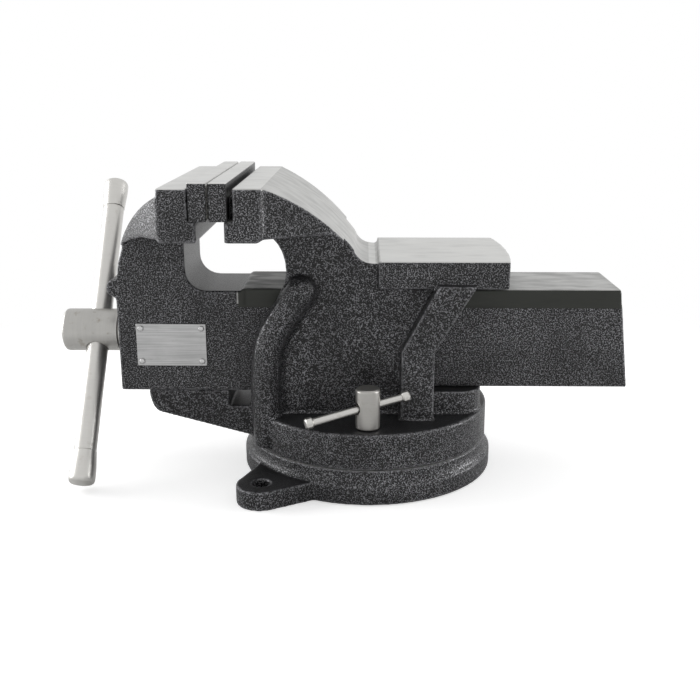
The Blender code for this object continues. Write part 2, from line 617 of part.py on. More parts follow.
def make_fixed_jaw():
    """The fixed casting: disc, pedestal, snout, ribs, channel walls, jaw crown and anvil."""
    corner = arc((DISC_RADIUS - DISC_EDGE_RADIUS, DISC_TOP - DISC_EDGE_RADIUS),
                 (DISC_EDGE_RADIUS, DISC_EDGE_RADIUS), 90, 0, 3)
    casting = turned("fixed_jaw", [(0, DISC_TOP)] + corner + [(DISC_RADIUS, DISC_BOTTOM), (0, DISC_BOTTOM)],
                     segments=72)
    join(casting, make_pedestal(), make_snout(), make_fixed_core(), make_anvil(), make_fixed_head())
    for side in (-1, 1):
        join(casting, *make_bead(side), make_rib(side))
    side = BEAM_HALF_WIDTH + SLIDE_CLEARANCE
    rail_side = BEAM_HALF_WIDTH - RAIL_INSET + SLIDE_CLEARANCE
    end = BODY_REAR_X + RIB_LEAN + OVERRUN
    front = BODY_FRONT_X - BEAD_RADIUS - OVERRUN
    cut(casting,
        box("channel", (front, -side, PEDESTAL_TOP), (end, side, RAIL_BOTTOM + SLIDE_CLEARANCE)),
        box("rail_channel", (front, -rail_side, RAIL_BOTTOM - OVERRUN), (end, rail_side, CHANNEL_TOP)))
    for y in (-SLOT_RADIUS, SLOT_RADIUS):
        cut(casting, rod(f"lock_hole_{'near' if y < 0 else 'far'}", (0, y, DISC_BOTTOM - OVERRUN),
                         (0, y, DISC_TOP + OVERRUN), LOCK_BOLT_DIAMETER + 2 * CLEARANCE, 24))
    seat = PEDESTAL_TOP - PIVOT_HEAD_HEIGHT - PIVOT_WASHER_THICKNESS - 3 * CLEARANCE
    cut(casting,
        rod("pivot_hole", (0, 0, DISC_BOTTOM - OVERRUN), (0, 0, PEDESTAL_TOP + OVERRUN),
            PIVOT_DIAMETER + 2 * CLEARANCE),
        rod("pivot_recess", (0, 0, seat), (0, 0, PEDESTAL_TOP + OVERRUN),
            PIVOT_WASHER_DIAMETER + 2 * CLEARANCE))
    nut_x = NUT_FRONT_X + NUT_LENGTH / 2
    cut(casting,
        rod("nut_bolt_hole", (nut_x, 0, DISC_BOTTOM - OVERRUN), (nut_x, 0, PEDESTAL_TOP + OVERRUN),
            NUT_BOLT_DIAMETER + 2 * CLEARANCE, 24),
        rod("nut_bolt_recess", (nut_x, 0, DISC_BOTTOM - OVERRUN),
            (nut_x, 0, DISC_BOTTOM + NUT_BOLT_HEAD_HEIGHT + 2 * CLEARANCE),
            NUT_BOLT_HEAD_DIAMETER + 2 * CLEARANCE, 24))
    for y in (-PLATE_SCREW_SPACING / 2, PLATE_SCREW_SPACING / 2):
        end = screw_end(FIXED_PAD_FACE, 1)
        cut(casting, rod(f"fixed_screw_hole_{'near' if y < 0 else 'far'}",
                         (FIXED_PAD_FACE - OVERRUN, y, SCREW_Z), (end + CLEARANCE, y, SCREW_Z),
                         PLATE_SCREW_DIAMETER + 2 * CLEARANCE, 16))
    return finish(casting, IRON, PARTS)


def screw_end(pad_face, way):
    """Where a jaw plate's screw ends inside its block."""
    return pad_face + way * (PLATE_SCREW_LENGTH - PLATE_THICKNESS + PLATE_SCREW_HEAD_HEIGHT)


def make_moving_head():
    """The moving jaw's block and its rounded front."""
    nose = (HEAD_FRONT_X + FLARE_STEP * 1.2, BLOCK_BOTTOM - FLARE_STEP * 2)
    start = (MOVING_BLOCK_FRONT, JAW_TOP - FLARE_STEP)
    run = MOVING_BLOCK_FRONT - nose[0]
    arch = [(MOVING_BLOCK_FRONT - run * 0.85, BLOCK_BOTTOM - FLARE_STEP * 1.1),
            (MOVING_BLOCK_FRONT - run * 0.64, BLOCK_BOTTOM - FLARE_STEP * 0.4),
            (MOVING_BLOCK_FRONT - run * 0.40, BLOCK_BOTTOM + FLARE_STEP * 0.2),
            (MOVING_BLOCK_FRONT, BLOCK_BOTTOM + FLARE_STEP * 0.4)]
    crown = bow(nose, start, (JAW_TOP - nose[1]) * 0.11, 8)
    outline = crown + [(MOVING_BLOCK_FRONT, JAW_TOP), (MOVING_BLOCK_FACE, JAW_TOP),
                       (MOVING_BLOCK_FACE, BLOCK_BOTTOM), (MOVING_BLOCK_FRONT, BLOCK_BOTTOM)]
    outline += arch[::-1]
    head = slab("moving_head", outline, -HALF_JAW, HALF_JAW)
    plan = [(nose[0] - OVERRUN, BEAM_HALF_WIDTH), (nose[0], BEAM_HALF_WIDTH + FLARE_STEP),
            (MOVING_BLOCK_FRONT, HALF_JAW), (MOVING_BLOCK_FACE + OVERRUN, HALF_JAW)]
    combine(head, slab("moving_plan", mirrored(plan), BLOCK_BOTTOM - BLOCK_HEIGHT,
                       JAW_TOP + OVERRUN, "XY"), 'INTERSECT')
    ledge = box("moving_ledge", (MOVING_BLOCK_FACE - OVERRUN, -HALF_JAW, BLOCK_BOTTOM),
                (MOVING_BLOCK_FACE + LEDGE_DEPTH - OVERRUN / 3, HALF_JAW, LEDGE_TOP))
    return bake(join(head, ledge))


def make_moving_core():
    """The front body and the slide bar, seen from the side."""
    fillet = arc((THROAT_FACE_X + THROAT_FILLET_RADIUS, RAIL_TOP - RAIL_STEP + THROAT_FILLET_RADIUS),
                 (THROAT_FILLET_RADIUS, THROAT_FILLET_RADIUS), 180, 270, 6)
    brow = BLOCK_BOTTOM + LEDGE_DEPTH
    outline = [(HEAD_FRONT_X, HEAD_BOTTOM), (HEAD_FRONT_X, RAIL_TOP),
               (HEAD_FRONT_X + FLARE_STEP * 0.6, RAIL_TOP + THROAT_BACK_RISE * 1.3),
               (HEAD_FRONT_X + FLARE_STEP * 1.4, BLOCK_BOTTOM - FLARE_STEP * 1.7),
               (MOVING_BLOCK_FRONT - LEDGE_DEPTH, brow), (THROAT_FACE_X, brow)]
    outline += fillet
    outline += [(RAIL_FRONT_X - RAIL_STEP, RAIL_TOP - RAIL_STEP), (RAIL_FRONT_X, RAIL_TOP),
                (BEAM_REAR_X, RAIL_TOP), (BEAM_REAR_X + BEAM_REAR_DRAFT, BEAM_BOTTOM),
                (HEAD_REAR_X, BEAM_BOTTOM), (HEAD_REAR_X, HEAD_BOTTOM)]
    return slab("moving_jaw", outline, -BEAM_HALF_WIDTH, BEAM_HALF_WIDTH)


def make_moving_jaw():
    """The moving casting: jaw head, front body and hollow slide bar."""
    casting = make_moving_core()
    bump = rod("front_bump", (HEAD_FRONT_X, -BEAM_HALF_WIDTH + CLEARANCE, RAIL_TOP),
               (HEAD_FRONT_X, BEAM_HALF_WIDTH - CLEARANCE, RAIL_TOP), BUMP_RADIUS * 2, 20)
    boss = rod("front_boss", (BOSS_FACE, 0, SPINDLE_Z), (HEAD_FRONT_X + OVERRUN, 0, SPINDLE_Z),
               FRONT_BOSS_DIAMETER)
    join(casting, make_moving_head(), bump, boss)
    end = BEAM_REAR_X + BEAM_REAR_DRAFT + OVERRUN
    rail_side = BEAM_HALF_WIDTH - RAIL_INSET
    for way in (-1, 1):
        low, high = sorted((way * rail_side, way * (BEAM_HALF_WIDTH + OVERRUN)))
        cut(casting, box(f"rail_side_{'near' if way < 0 else 'far'}", (RAIL_FRONT_X, low, RAIL_BOTTOM),
                         (end, high, RAIL_TOP + OVERRUN)))
    cut(casting,
        box("beam_cavity", (FRONT_WALL_REAR, -BEAM_CAVITY_HALF, HEAD_BOTTOM - OVERRUN),
            (end, BEAM_CAVITY_HALF, BEAM_CAVITY_TOP)),
        rod("journal_bore", (BOSS_FACE - OVERRUN, 0, SPINDLE_Z), (FRONT_WALL_REAR + OVERRUN, 0, SPINDLE_Z),
            SPINDLE_JOURNAL_DIAMETER + 2 * CLEARANCE))
    for y in (-PLATE_SCREW_SPACING / 2, PLATE_SCREW_SPACING / 2):
        end = screw_end(MOVING_BLOCK_FACE, -1)
        cut(casting, rod(f"moving_screw_hole_{'near' if y < 0 else 'far'}",
                         (MOVING_BLOCK_FACE + OVERRUN, y, SCREW_Z), (end - CLEARANCE, y, SCREW_Z),
                         PLATE_SCREW_DIAMETER + 2 * CLEARANCE, 16))
    for index, (x, z) in enumerate(rivet_places()):
        cut(casting, rod(f"rivet_hole_{index}", (x, -BEAM_HALF_WIDTH - OVERRUN, z),
                         (x, RIVET_SHANK_LENGTH - BEAM_HALF_WIDTH, z),
                         RIVET_SHANK_DIAMETER + 2 * CLEARANCE, 12))
    return finish(casting, IRON, PARTS)


def make_jaw_plates():
    """Two bolted jaw plates and their four screws."""
    for name, face, way in (("fixed", JAW_FACE_X + CLEARANCE / 2, 1), ("moving", JAW_FACE_X - CLEARANCE / 2, -1)):
        low, high = sorted((face, face + way * PLATE_THICKNESS))
        plate = box(f"jaw_plate_{name}", (low, -HALF_JAW, PLATE_BOTTOM), (high, HALF_JAW, PLATE_TOP))
        pad_face = FIXED_PAD_FACE if way > 0 else MOVING_BLOCK_FACE
        for y in (-PLATE_SCREW_SPACING / 2, PLATE_SCREW_SPACING / 2):
            where = "near" if y < 0 else "far"
            top = face + way * 2 * CLEARANCE
            seat = top + way * PLATE_SCREW_HEAD_HEIGHT
            cut(plate,
                rod(f"plate_hole_{name}_{where}", (face - way * OVERRUN, y, SCREW_Z),
                    (face + way * (PLATE_THICKNESS + OVERRUN), y, SCREW_Z),
                    PLATE_SCREW_DIAMETER + 2 * CLEARANCE, 16),
                rod(f"plate_recess_{name}_{where}", (face - way * OVERRUN, y, SCREW_Z),
                    (seat + way * CLEARANCE, y, SCREW_Z), PLATE_SCREW_HEAD_DIAMETER + 2 * CLEARANCE, 24))
            screw = rod(f"jaw_screw_{name}_{where}", (top, y, SCREW_Z), (seat, y, SCREW_Z),
                        PLATE_SCREW_HEAD_DIAMETER, 24)
            join(screw, rod(f"shank_{name}_{where}", (seat - way * OVERRUN / 3, y, SCREW_Z),
                            (screw_end(pad_face, way), y, SCREW_Z), PLATE_SCREW_DIAMETER, 16))
            cut(screw, rod(f"socket_{name}_{where}", (top - way * OVERRUN, y, SCREW_Z),
                           (top + way * PLATE_SCREW_SOCKET_DEPTH, y, SCREW_Z),
                           PLATE_SCREW_SOCKET_DIAMETER, 6))
            finish(screw, DARK_STEEL, PARTS)
        finish(plate, IRON, PARTS)


def rivet_places():
    """The four rivets' places on the name plate's face."""
    left = HEAD_FRONT_X + NAME_PLATE_SETBACK
    low = BEAM_BOTTOM + NAME_PLATE_RISE
    right, high = left + NAME_PLATE_LENGTH, low + NAME_PLATE_HEIGHT
    return [(x, z) for x in (left + RIVET_INSET, right - RIVET_INSET)
            for z in (low + RIVET_INSET, high - RIVET_INSET)]


def make_name_plate():
    """The plain name plate and its four rivets on the near side."""
    left = HEAD_FRONT_X + NAME_PLATE_SETBACK
    low = BEAM_BOTTOM + NAME_PLATE_RISE
    back = -BEAM_HALF_WIDTH - CLEARANCE
    face = back - NAME_PLATE_THICKNESS
    plate = box("name_plate", (left, face, low), (left + NAME_PLATE_LENGTH, back, low + NAME_PLATE_HEIGHT))
    for index, (x, z) in enumerate(rivet_places()):
        cut(plate, rod(f"plate_rivet_hole_{index}", (x, face - OVERRUN, z), (x, back + OVERRUN, z),
                       RIVET_SHANK_DIAMETER + 2 * CLEARANCE, 12))
        seat = NAME_PLATE_THICKNESS + 2 * CLEARANCE
        shank = RIVET_SHANK_DIAMETER / 2
        head = [(radius * RIVET_HEAD_DIAMETER / 2, seat + height * RIVET_HEAD_HEIGHT)
                for radius, height in ((0, 1), (0.45, 0.92), (0.8, 0.65), (1, 0.2), (1, 0))]
        depth = RIVET_SHANK_LENGTH - CLEARANCE
        rivet = turned(f"name_plate_rivet_{index + 1}", head + [(shank, seat), (shank, -depth), (0, -depth)],
                       (x, -BEAM_HALF_WIDTH, z), (0, -1, 0), 12)
        finish(rivet, PLATE_FINISH, PARTS)
    finish(plate, PLATE_FINISH, PARTS)


def handle_axis():
    """The direction along the handle, towards its upper end."""
    return Vector((0, math.sin(HANDLE_LEAN), math.cos(HANDLE_LEAN)))


def make_spindle():
    """The spindle: a cross-drilled head, a journal and the screw."""
    head, journal = SPINDLE_HEAD_DIAMETER / 2, SPINDLE_JOURNAL_DIAMETER / 2
    screw = SPINDLE_SCREW_DIAMETER / 2
    chamfer = SPINDLE_HEAD_CHAMFER
    journal_end = FRONT_WALL_REAR + COLLAR_LENGTH + 3 * CLEARANCE
    length = SPINDLE_REAR_X - SPINDLE_FRONT_X
    profile = [(0, length), (screw - chamfer, length), (screw, length - chamfer),
               (screw, journal_end - SPINDLE_FRONT_X), (journal, journal_end - SPINDLE_FRONT_X),
               (journal, SPINDLE_HEAD_LENGTH), (head, SPINDLE_HEAD_LENGTH), (head, chamfer),
               (head - chamfer, 0), (0, 0)]
    spindle = turned("spindle", profile, (SPINDLE_FRONT_X, 0, SPINDLE_Z), X_AXIS)
    middle = Vector((HANDLE_X, 0, SPINDLE_Z))
    reach = handle_axis() * (head + OVERRUN)
    cut(spindle, rod("handle_hole", middle - reach, middle + reach, HANDLE_DIAMETER + 2 * CLEARANCE, 24))
    pin_x = FRONT_WALL_REAR + CLEARANCE + COLLAR_LENGTH / 2
    cut(spindle, rod("pin_hole_spindle", (pin_x, 0, SPINDLE_Z - head), (pin_x, 0, SPINDLE_Z + head),
                     COLLAR_PIN_DIAMETER + 2 * CLEARANCE, 16))
    finish(spindle, STEEL, PARTS)

    bore = journal + CLEARANCE
    washer = THRUST_WASHER_DIAMETER / 2
    finish(turned("thrust_washer", ring(bore, washer, THRUST_WASHER_THICKNESS),
                  (SHOULDER_X + CLEARANCE, 0, SPINDLE_Z), X_AXIS), STEEL, PARTS)
    collar = turned("spindle_collar", ring(bore, COLLAR_DIAMETER / 2, COLLAR_LENGTH),
                    (FRONT_WALL_REAR + CLEARANCE, 0, SPINDLE_Z), X_AXIS)
    cut(collar, rod("pin_hole_collar", (pin_x, 0, SPINDLE_Z - COLLAR_DIAMETER),
                    (pin_x, 0, SPINDLE_Z + COLLAR_DIAMETER), COLLAR_PIN_DIAMETER + 2 * CLEARANCE, 16))
    finish(collar, DARK_STEEL, PARTS)
    finish(rod("collar_pin", (pin_x, 0, SPINDLE_Z - COLLAR_DIAMETER / 2),
               (pin_x, 0, SPINDLE_Z + COLLAR_DIAMETER / 2), COLLAR_PIN_DIAMETER, 16), STEEL, PARTS)


def ring(inner, outer, height):
    """The closed profile of a plain ring."""
    return [(inner, height), (outer, height), (outer, 0), (inner, 0), (inner, height)]


def make_spindle_nut():
    """The nut that stands inside the slide bar, and the bolt that holds it from below."""
    rear = NUT_FRONT_X + NUT_LENGTH
    floor = PEDESTAL_TOP + CLEARANCE
    nut = box("spindle_nut", (NUT_FRONT_X, -NUT_HALF_WIDTH, floor), (rear, NUT_HALF_WIDTH, floor + NUT_HEIGHT))
    cut(nut, rod("nut_bore", (NUT_FRONT_X - OVERRUN, 0, SPINDLE_Z), (rear + OVERRUN, 0, SPINDLE_Z),
                 SPINDLE_SCREW_DIAMETER + 2 * CLEARANCE))
    x = (NUT_FRONT_X + rear) / 2
    cut(nut, rod("nut_tapping", (x, 0, floor - OVERRUN), (x, 0, floor + NUT_BOLT_DEPTH),
                 NUT_BOLT_DIAMETER + 2 * CLEARANCE, 24))
    finish(nut, MACHINED, PARTS)
    head_top = DISC_BOTTOM + CLEARANCE + NUT_BOLT_HEAD_HEIGHT
    bolt = rod("nut_bolt", (x, 0, DISC_BOTTOM + CLEARANCE), (x, 0, head_top), NUT_BOLT_HEAD_DIAMETER, 6)
    join(bolt, rod("nut_bolt_shank", (x, 0, head_top - OVERRUN / 3),
                   (x, 0, floor + NUT_BOLT_DEPTH - CLEARANCE), NUT_BOLT_DIAMETER, 24))
    finish(bolt, DARK_STEEL, PARTS)


def make_pivot():
    """The centre screw on which the fixed jaw swivels, and its washer."""
    washer_low = PEDESTAL_TOP - PIVOT_HEAD_HEIGHT - PIVOT_WASHER_THICKNESS - 2 * CLEARANCE
    bore = PIVOT_DIAMETER / 2 + CLEARANCE
    finish(turned("pivot_washer", ring(bore, PIVOT_WASHER_DIAMETER / 2, PIVOT_WASHER_THICKNESS),
                  (0, 0, washer_low)), STEEL, PARTS)
    head_low = PEDESTAL_TOP - PIVOT_HEAD_HEIGHT - CLEARANCE
    screw = rod("pivot_screw", (0, 0, head_low), (0, 0, head_low + PIVOT_HEAD_HEIGHT), PIVOT_HEAD_DIAMETER, 6)
    join(screw, rod("pivot_shank", (0, 0, BASE_TOP - PIVOT_DEPTH), (0, 0, head_low + OVERRUN / 3),
                    PIVOT_DIAMETER, 32))
    finish(screw, DARK_STEEL, PARTS)


def make_bar(name, centre, axis, ends, size, knob, tenon, look):
    """A tommy bar with a knob on each end: ends are the lengths below and above the centre."""
    diameter, (knob_diameter, knob_length, chamfer), (tenon_diameter, tenon_length) = size, knob, tenon
    below, above = ends
    bar, pin = diameter / 2, tenon_diameter / 2
    low, high = knob_length - below, above - knob_length
    profile = [(0, high + tenon_length), (pin, high + tenon_length), (pin, high), (bar, high), (bar, low),
               (pin, low), (pin, low - tenon_length), (0, low - tenon_length)]
    segments = 24 if chamfer else 12
    finish(turned(f"{name}_bar", profile, centre, axis, segments), look, PARTS)
    rim, hole = knob_diameter / 2, pin + CLEARANCE
    for end, way, start in (("upper", 1, high), ("lower", -1, low)):
        seat = CLEARANCE
        inner = seat + tenon_length + CLEARANCE
        edge = max(chamfer, rim * 0.1)
        cap = [(0, knob_length), (rim - edge, knob_length), (rim, knob_length - edge), (rim, seat + edge),
               (rim - edge, seat), (hole, seat), (hole, inner), (0, inner)]
        finish(turned(f"{name}_knob_{end}", cap, Vector(centre) + axis * start, axis * way, segments),
               look, PARTS)


def make_handle():
    """The long handle through the spindle's head."""
    middle = Vector((HANDLE_X, 0, SPINDLE_Z))
    make_bar("handle", middle, handle_axis(),
             (HANDLE_LENGTH / 2 - HANDLE_OFFSET, HANDLE_LENGTH / 2 + HANDLE_OFFSET), HANDLE_DIAMETER,
             (HANDLE_KNOB_DIAMETER, HANDLE_KNOB_LENGTH, HANDLE_KNOB_CHAMFER),
             (HANDLE_TENON_DIAMETER, HANDLE_TENON_LENGTH), STEEL)


def make_lock(side):
    """One swivel clamp: T-bolt, tall round nut and its tommy bar."""
    where = "near" if side < 0 else "far"
    y = side * SLOT_RADIUS
    low = BASE_FLOOR + CLEARANCE
    bolt = box(f"lock_bolt_{where}",
               (-LOCK_HEAD_LENGTH / 2, y - LOCK_HEAD_RADIAL / 2, low),
               (LOCK_HEAD_LENGTH / 2, y + LOCK_HEAD_RADIAL / 2, low + LOCK_HEAD_HEIGHT))
    nut_low = DISC_TOP + CLEARANCE
    shank_top = nut_low + LOCK_BOLT_ENGAGEMENT
    join(bolt, rod(f"lock_shank_{where}", (0, y, low + OVERRUN / 3), (0, y, shank_top),
                   LOCK_BOLT_DIAMETER, 24))
    finish(bolt, DARK_STEEL, PARTS)
    rim = LOCK_NUT_DIAMETER / 2
    bore = LOCK_BOLT_DIAMETER / 2 + CLEARANCE
    depth = LOCK_BOLT_ENGAGEMENT + CLEARANCE
    nut = turned(f"lock_nut_{where}",
                 [(0, LOCK_NUT_HEIGHT), (rim - LOCK_NUT_CHAMFER, LOCK_NUT_HEIGHT),
                  (rim, LOCK_NUT_HEIGHT - LOCK_NUT_CHAMFER), (rim, 0), (bore, 0), (bore, depth), (0, depth)],
                 (0, y, nut_low), segments=32)
    flat = Vector((math.cos(LOCK_BAR_YAW), -side * math.sin(LOCK_BAR_YAW), 0))
    middle = Vector((0, y, LOCK_BAR_Z))
    reach = flat * (rim + OVERRUN)
    cut(nut, rod(f"lock_bar_hole_{where}", middle - reach, middle + reach, LOCK_BAR_HOLE_DIAMETER, 20))
    finish(nut, STEEL, PARTS)
    axis = flat * math.cos(LOCK_BAR_TILT) + Z_AXIS * math.sin(LOCK_BAR_TILT)
    make_bar(f"lock_{where}", middle, axis, (LOCK_BAR_LONG_END, LOCK_BAR_SHORT_END), LOCK_BAR_DIAMETER,
             (LOCK_KNOB_DIAMETER, LOCK_KNOB_LENGTH, 0), (LOCK_TENON_DIAMETER, LOCK_TENON_LENGTH), STEEL)


clear_scene()
PARTS = make_collection("bench vise")
CUTTERS = make_collection("cutters")
make_swivel_base()
make_fixed_jaw()
make_moving_jaw()
make_jaw_plates()
make_name_plate()
make_spindle()
make_spindle_nut()
make_pivot()
make_handle()
for clamp_side in (-1, 1):
    make_lock(clamp_side)
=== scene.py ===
"""Swivel bench vise with an anvil: the pieces, finishes and studio that go over its solid model."""

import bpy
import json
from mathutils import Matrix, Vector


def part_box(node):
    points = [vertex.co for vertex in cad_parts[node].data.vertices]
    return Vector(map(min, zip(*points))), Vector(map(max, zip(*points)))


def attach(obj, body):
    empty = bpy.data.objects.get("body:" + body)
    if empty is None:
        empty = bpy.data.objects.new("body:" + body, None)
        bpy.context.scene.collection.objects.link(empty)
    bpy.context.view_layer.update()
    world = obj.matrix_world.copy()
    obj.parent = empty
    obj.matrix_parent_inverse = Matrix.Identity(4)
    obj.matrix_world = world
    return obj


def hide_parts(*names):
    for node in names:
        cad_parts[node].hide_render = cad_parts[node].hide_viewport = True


bl_info = {
    "name": "Swivel bench vise",
    "version": (1, 0, 0),
    "blender": (4, 5, 0),
    "location": "View3D > Sidebar > Vise",
    "description": "Builds the detailed pieces, finishes and studio of a swivel bench vise",
    "category": "Object",
}

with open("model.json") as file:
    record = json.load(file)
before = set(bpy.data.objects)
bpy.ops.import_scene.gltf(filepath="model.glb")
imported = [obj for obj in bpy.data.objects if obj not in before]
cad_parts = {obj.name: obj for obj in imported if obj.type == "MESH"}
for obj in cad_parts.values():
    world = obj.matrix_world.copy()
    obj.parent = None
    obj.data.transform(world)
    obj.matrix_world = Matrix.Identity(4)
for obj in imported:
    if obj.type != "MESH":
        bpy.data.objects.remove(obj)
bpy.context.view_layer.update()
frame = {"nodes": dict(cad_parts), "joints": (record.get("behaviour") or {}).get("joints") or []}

import json
import math

import bmesh
import bpy
from bpy.props import FloatProperty, FloatVectorProperty, IntProperty, PointerProperty
from bpy.types import Operator, Panel, PropertyGroup
from mathutils import Vector

JOINTS = {joint["name"]: joint for joint in frame["joints"]}
MM = 0.001
X_AXIS = Vector((1, 0, 0))
Z_AXIS = Vector((0, 0, 1))

# Where the cut faces lie, in millimetres
ANVIL_TOP = 143.9
RAIL_TOP = 123.1
RAIL_SIDE = 28.4
RAIL_END = -82.2
CROWN_END = 8.0
SEAT_RADIUS = 79.0


# Sizes and colours that a user would change

class CastingSizes(PropertyGroup):
    """How the iron castings are finished at their edges."""
    cell: FloatProperty(name="Skin cell", description="Size of the faces that make a casting's rounded skin",
                        default=0.95 * MM, min=0.5 * MM, max=4 * MM, unit="LENGTH")
    rounds: IntProperty(name="Rounding passes", description="How many times a casting's skin is smoothed",
                        default=2, min=0, max=40)


class JawPlateSizes(PropertyGroup):
    """The gripping face of the jaw plates and their screws."""
    tooth: FloatProperty(name="Tooth pitch", description="Distance between the teeth of a jaw plate",
                         default=1.25 * MM, min=0.5 * MM, unit="LENGTH")
    depth: FloatProperty(name="Tooth depth", description="Depth of the crossed grooves between the teeth",
                         default=0.55 * MM, min=0, unit="LENGTH")
    chamfer: FloatProperty(name="Edge chamfer", description="Chamfer on a jaw plate's edges",
                           default=0.5 * MM, min=0, unit="LENGTH")
    socket: FloatProperty(name="Screw socket", description="Width across the flats of the screws' hexagon socket",
                          default=5.2 * MM, min=1 * MM, unit="LENGTH")


class SpindleSizes(PropertyGroup):
    """The spindle's head and thread."""
    pitch: FloatProperty(name="Thread pitch", description="Distance between the ridges of the thread",
                         default=5 * MM, min=1 * MM, unit="LENGTH")
    thread_depth: FloatProperty(name="Thread depth", description="Height of the thread's ridges",
                                default=1.8 * MM, min=0, unit="LENGTH")
    edge: FloatProperty(name="Head edge", description="Radius of the rounded edges of the spindle's head",
                        default=2.4 * MM, min=0, unit="LENGTH")


class HandleSizes(PropertyGroup):
    """The knobs of the handle and of the clamp bars."""
    waist: FloatProperty(name="Knob waist", description="How far a handle knob is drawn in towards the bar",
                         default=0.8 * MM, min=0, unit="LENGTH")
    crown: FloatProperty(name="Knob crown", description="Radius of a handle knob's outer edge",
                         default=3.2 * MM, min=0, unit="LENGTH")
    facets: IntProperty(name="Clamp knob facets", description="Number of flats round a clamp bar's knob",
                        default=8, min=3, max=24)


class PaintColours(PropertyGroup):
    """The hammertone paint."""
    ground: FloatVectorProperty(name="Ground", description="Dark ground of the hammertone paint",
                                subtype="COLOR", size=3, default=(0.006, 0.006, 0.0065), min=0, max=1)
    fleck: FloatVectorProperty(name="Fleck", description="Silver fleck of the hammertone paint",
                               subtype="COLOR", size=3, default=(0.30, 0.30, 0.315), min=0, max=1)
    fleck_size: FloatProperty(name="Fleck size", description="Width of one dimple of the hammertone",
                              default=1.25 * MM, min=0.3 * MM, unit="LENGTH")
    relief: FloatProperty(name="Relief", description="Height of the hammertone's relief",
                          default=0.22 * MM, min=0, unit="LENGTH")


class MetalColours(PropertyGroup):
    """The bare metals."""
    machined: FloatVectorProperty(name="Machined iron", description="Bright cut faces of the castings",
                                  subtype="COLOR", size=3, default=(0.69, 0.69, 0.675), min=0, max=1)
    # Painted dark reflection: the machined side faces of the rail get a near-black colour.
    slide: FloatVectorProperty(name="Slide faces", description="Oiled side faces of the slide bar's rail",
                               subtype="COLOR", size=3, default=(0.044, 0.046, 0.041), min=0, max=1)
    steel: FloatVectorProperty(name="Satin steel", description="Handle, spindle, clamp nuts and bars",
                               subtype="COLOR", size=3, default=(0.62, 0.61, 0.585), min=0, max=1)
    dark_steel: FloatVectorProperty(name="Blackened steel", description="Screws, bolts and collar",
                                    subtype="COLOR", size=3, default=(0.10, 0.10, 0.10), min=0, max=1)
    forged: FloatVectorProperty(name="Forged steel", description="Clamp nuts, duller than the bars",
                                subtype="COLOR", size=3, default=(0.42, 0.41, 0.39), min=0, max=1)
    aluminium: FloatVectorProperty(name="Aluminium", description="Name plate and rivets",
                                   subtype="COLOR", size=3, default=(0.46, 0.46, 0.46), min=0, max=1)


class StudioSettings(PropertyGroup):
    """Camera, lamps and floor."""
    lens: FloatProperty(name="Lens", description="Focal length on a 36 mm wide sensor, in millimetres",
                        default=48.93, min=10, max=200)
    stand: FloatVectorProperty(name="Camera place", description="Where the camera stands", subtype="TRANSLATION",
                               size=3, default=(-2.81 * MM, -613.6 * MM, 248.65 * MM), unit="LENGTH")
    pitch: FloatProperty(name="Camera pitch", description="How far the camera looks down",
                         default=math.radians(15.79), subtype="ANGLE")
    yaw: FloatProperty(name="Camera yaw", description="How far the camera turns to its left",
                       default=math.radians(0.84), subtype="ANGLE")
    key: FloatProperty(name="Key lamp", description="Power of the large lamp at the left, in watts",
                       default=9.0, min=0)
    fill: FloatProperty(name="Fill lamp", description="Power of the lamp on the right, in watts",
                        default=6.5, min=0)
    sky: FloatProperty(name="Surround", description="Strength of the pale surround as a light",
                       default=0.95, min=0)
    dim: FloatProperty(name="Dim front", description="Share of the surround's light that comes from the camera's side",
                       default=0.35, min=0, max=1)
    floor: FloatVectorProperty(name="Floor", description="Colour of the floor and backdrop",
                               subtype="COLOR", size=3, default=(0.78, 0.78, 0.78), min=0, max=1)


SETTINGS = {
    "vise_casting": CastingSizes, "vise_plates": JawPlateSizes, "vise_spindle": SpindleSizes,
    "vise_handle": HandleSizes, "vise_paint": PaintColours, "vise_metal": MetalColours,
    "vise_studio": StudioSettings,
}


# Shader maths

class Wire:
    """A number, colour or vector that runs through a material's nodes, with plain arithmetic on numbers."""

    def __init__(self, sheet, socket):
        self.sheet, self.socket = sheet, socket

    def _math(self, operation, first, second=0.0):
        return self.sheet.node("ShaderNodeMath", {"operation": operation}, {0: first, 1: second})

    def __add__(self, other):
        return self._math("ADD", self, other)

    def __sub__(self, other):
        return self._math("SUBTRACT", self, other)

    def __rsub__(self, other):
        return self._math("SUBTRACT", other, self)

    def __mul__(self, other):
        return self._math("MULTIPLY", self, other)

    def __gt__(self, other):
        return self._math("GREATER_THAN", self, other)

    def __lt__(self, other):
        return self._math("LESS_THAN", self, other)

    def __abs__(self):
        return self._math("ABSOLUTE", self)

    __radd__ = __add__
    __rmul__ = __mul__

    def ramp(self, low, high):
        """0 below low, 1 above high and a soft step between, or the other way round if low is above high."""
        if low > high:
            return 1 - self.ramp(high, low)
        return self.sheet.node("ShaderNodeMapRange", {"interpolation_type": "SMOOTHSTEP"},
                               {"Value": self, "From Min": low, "From Max": high})


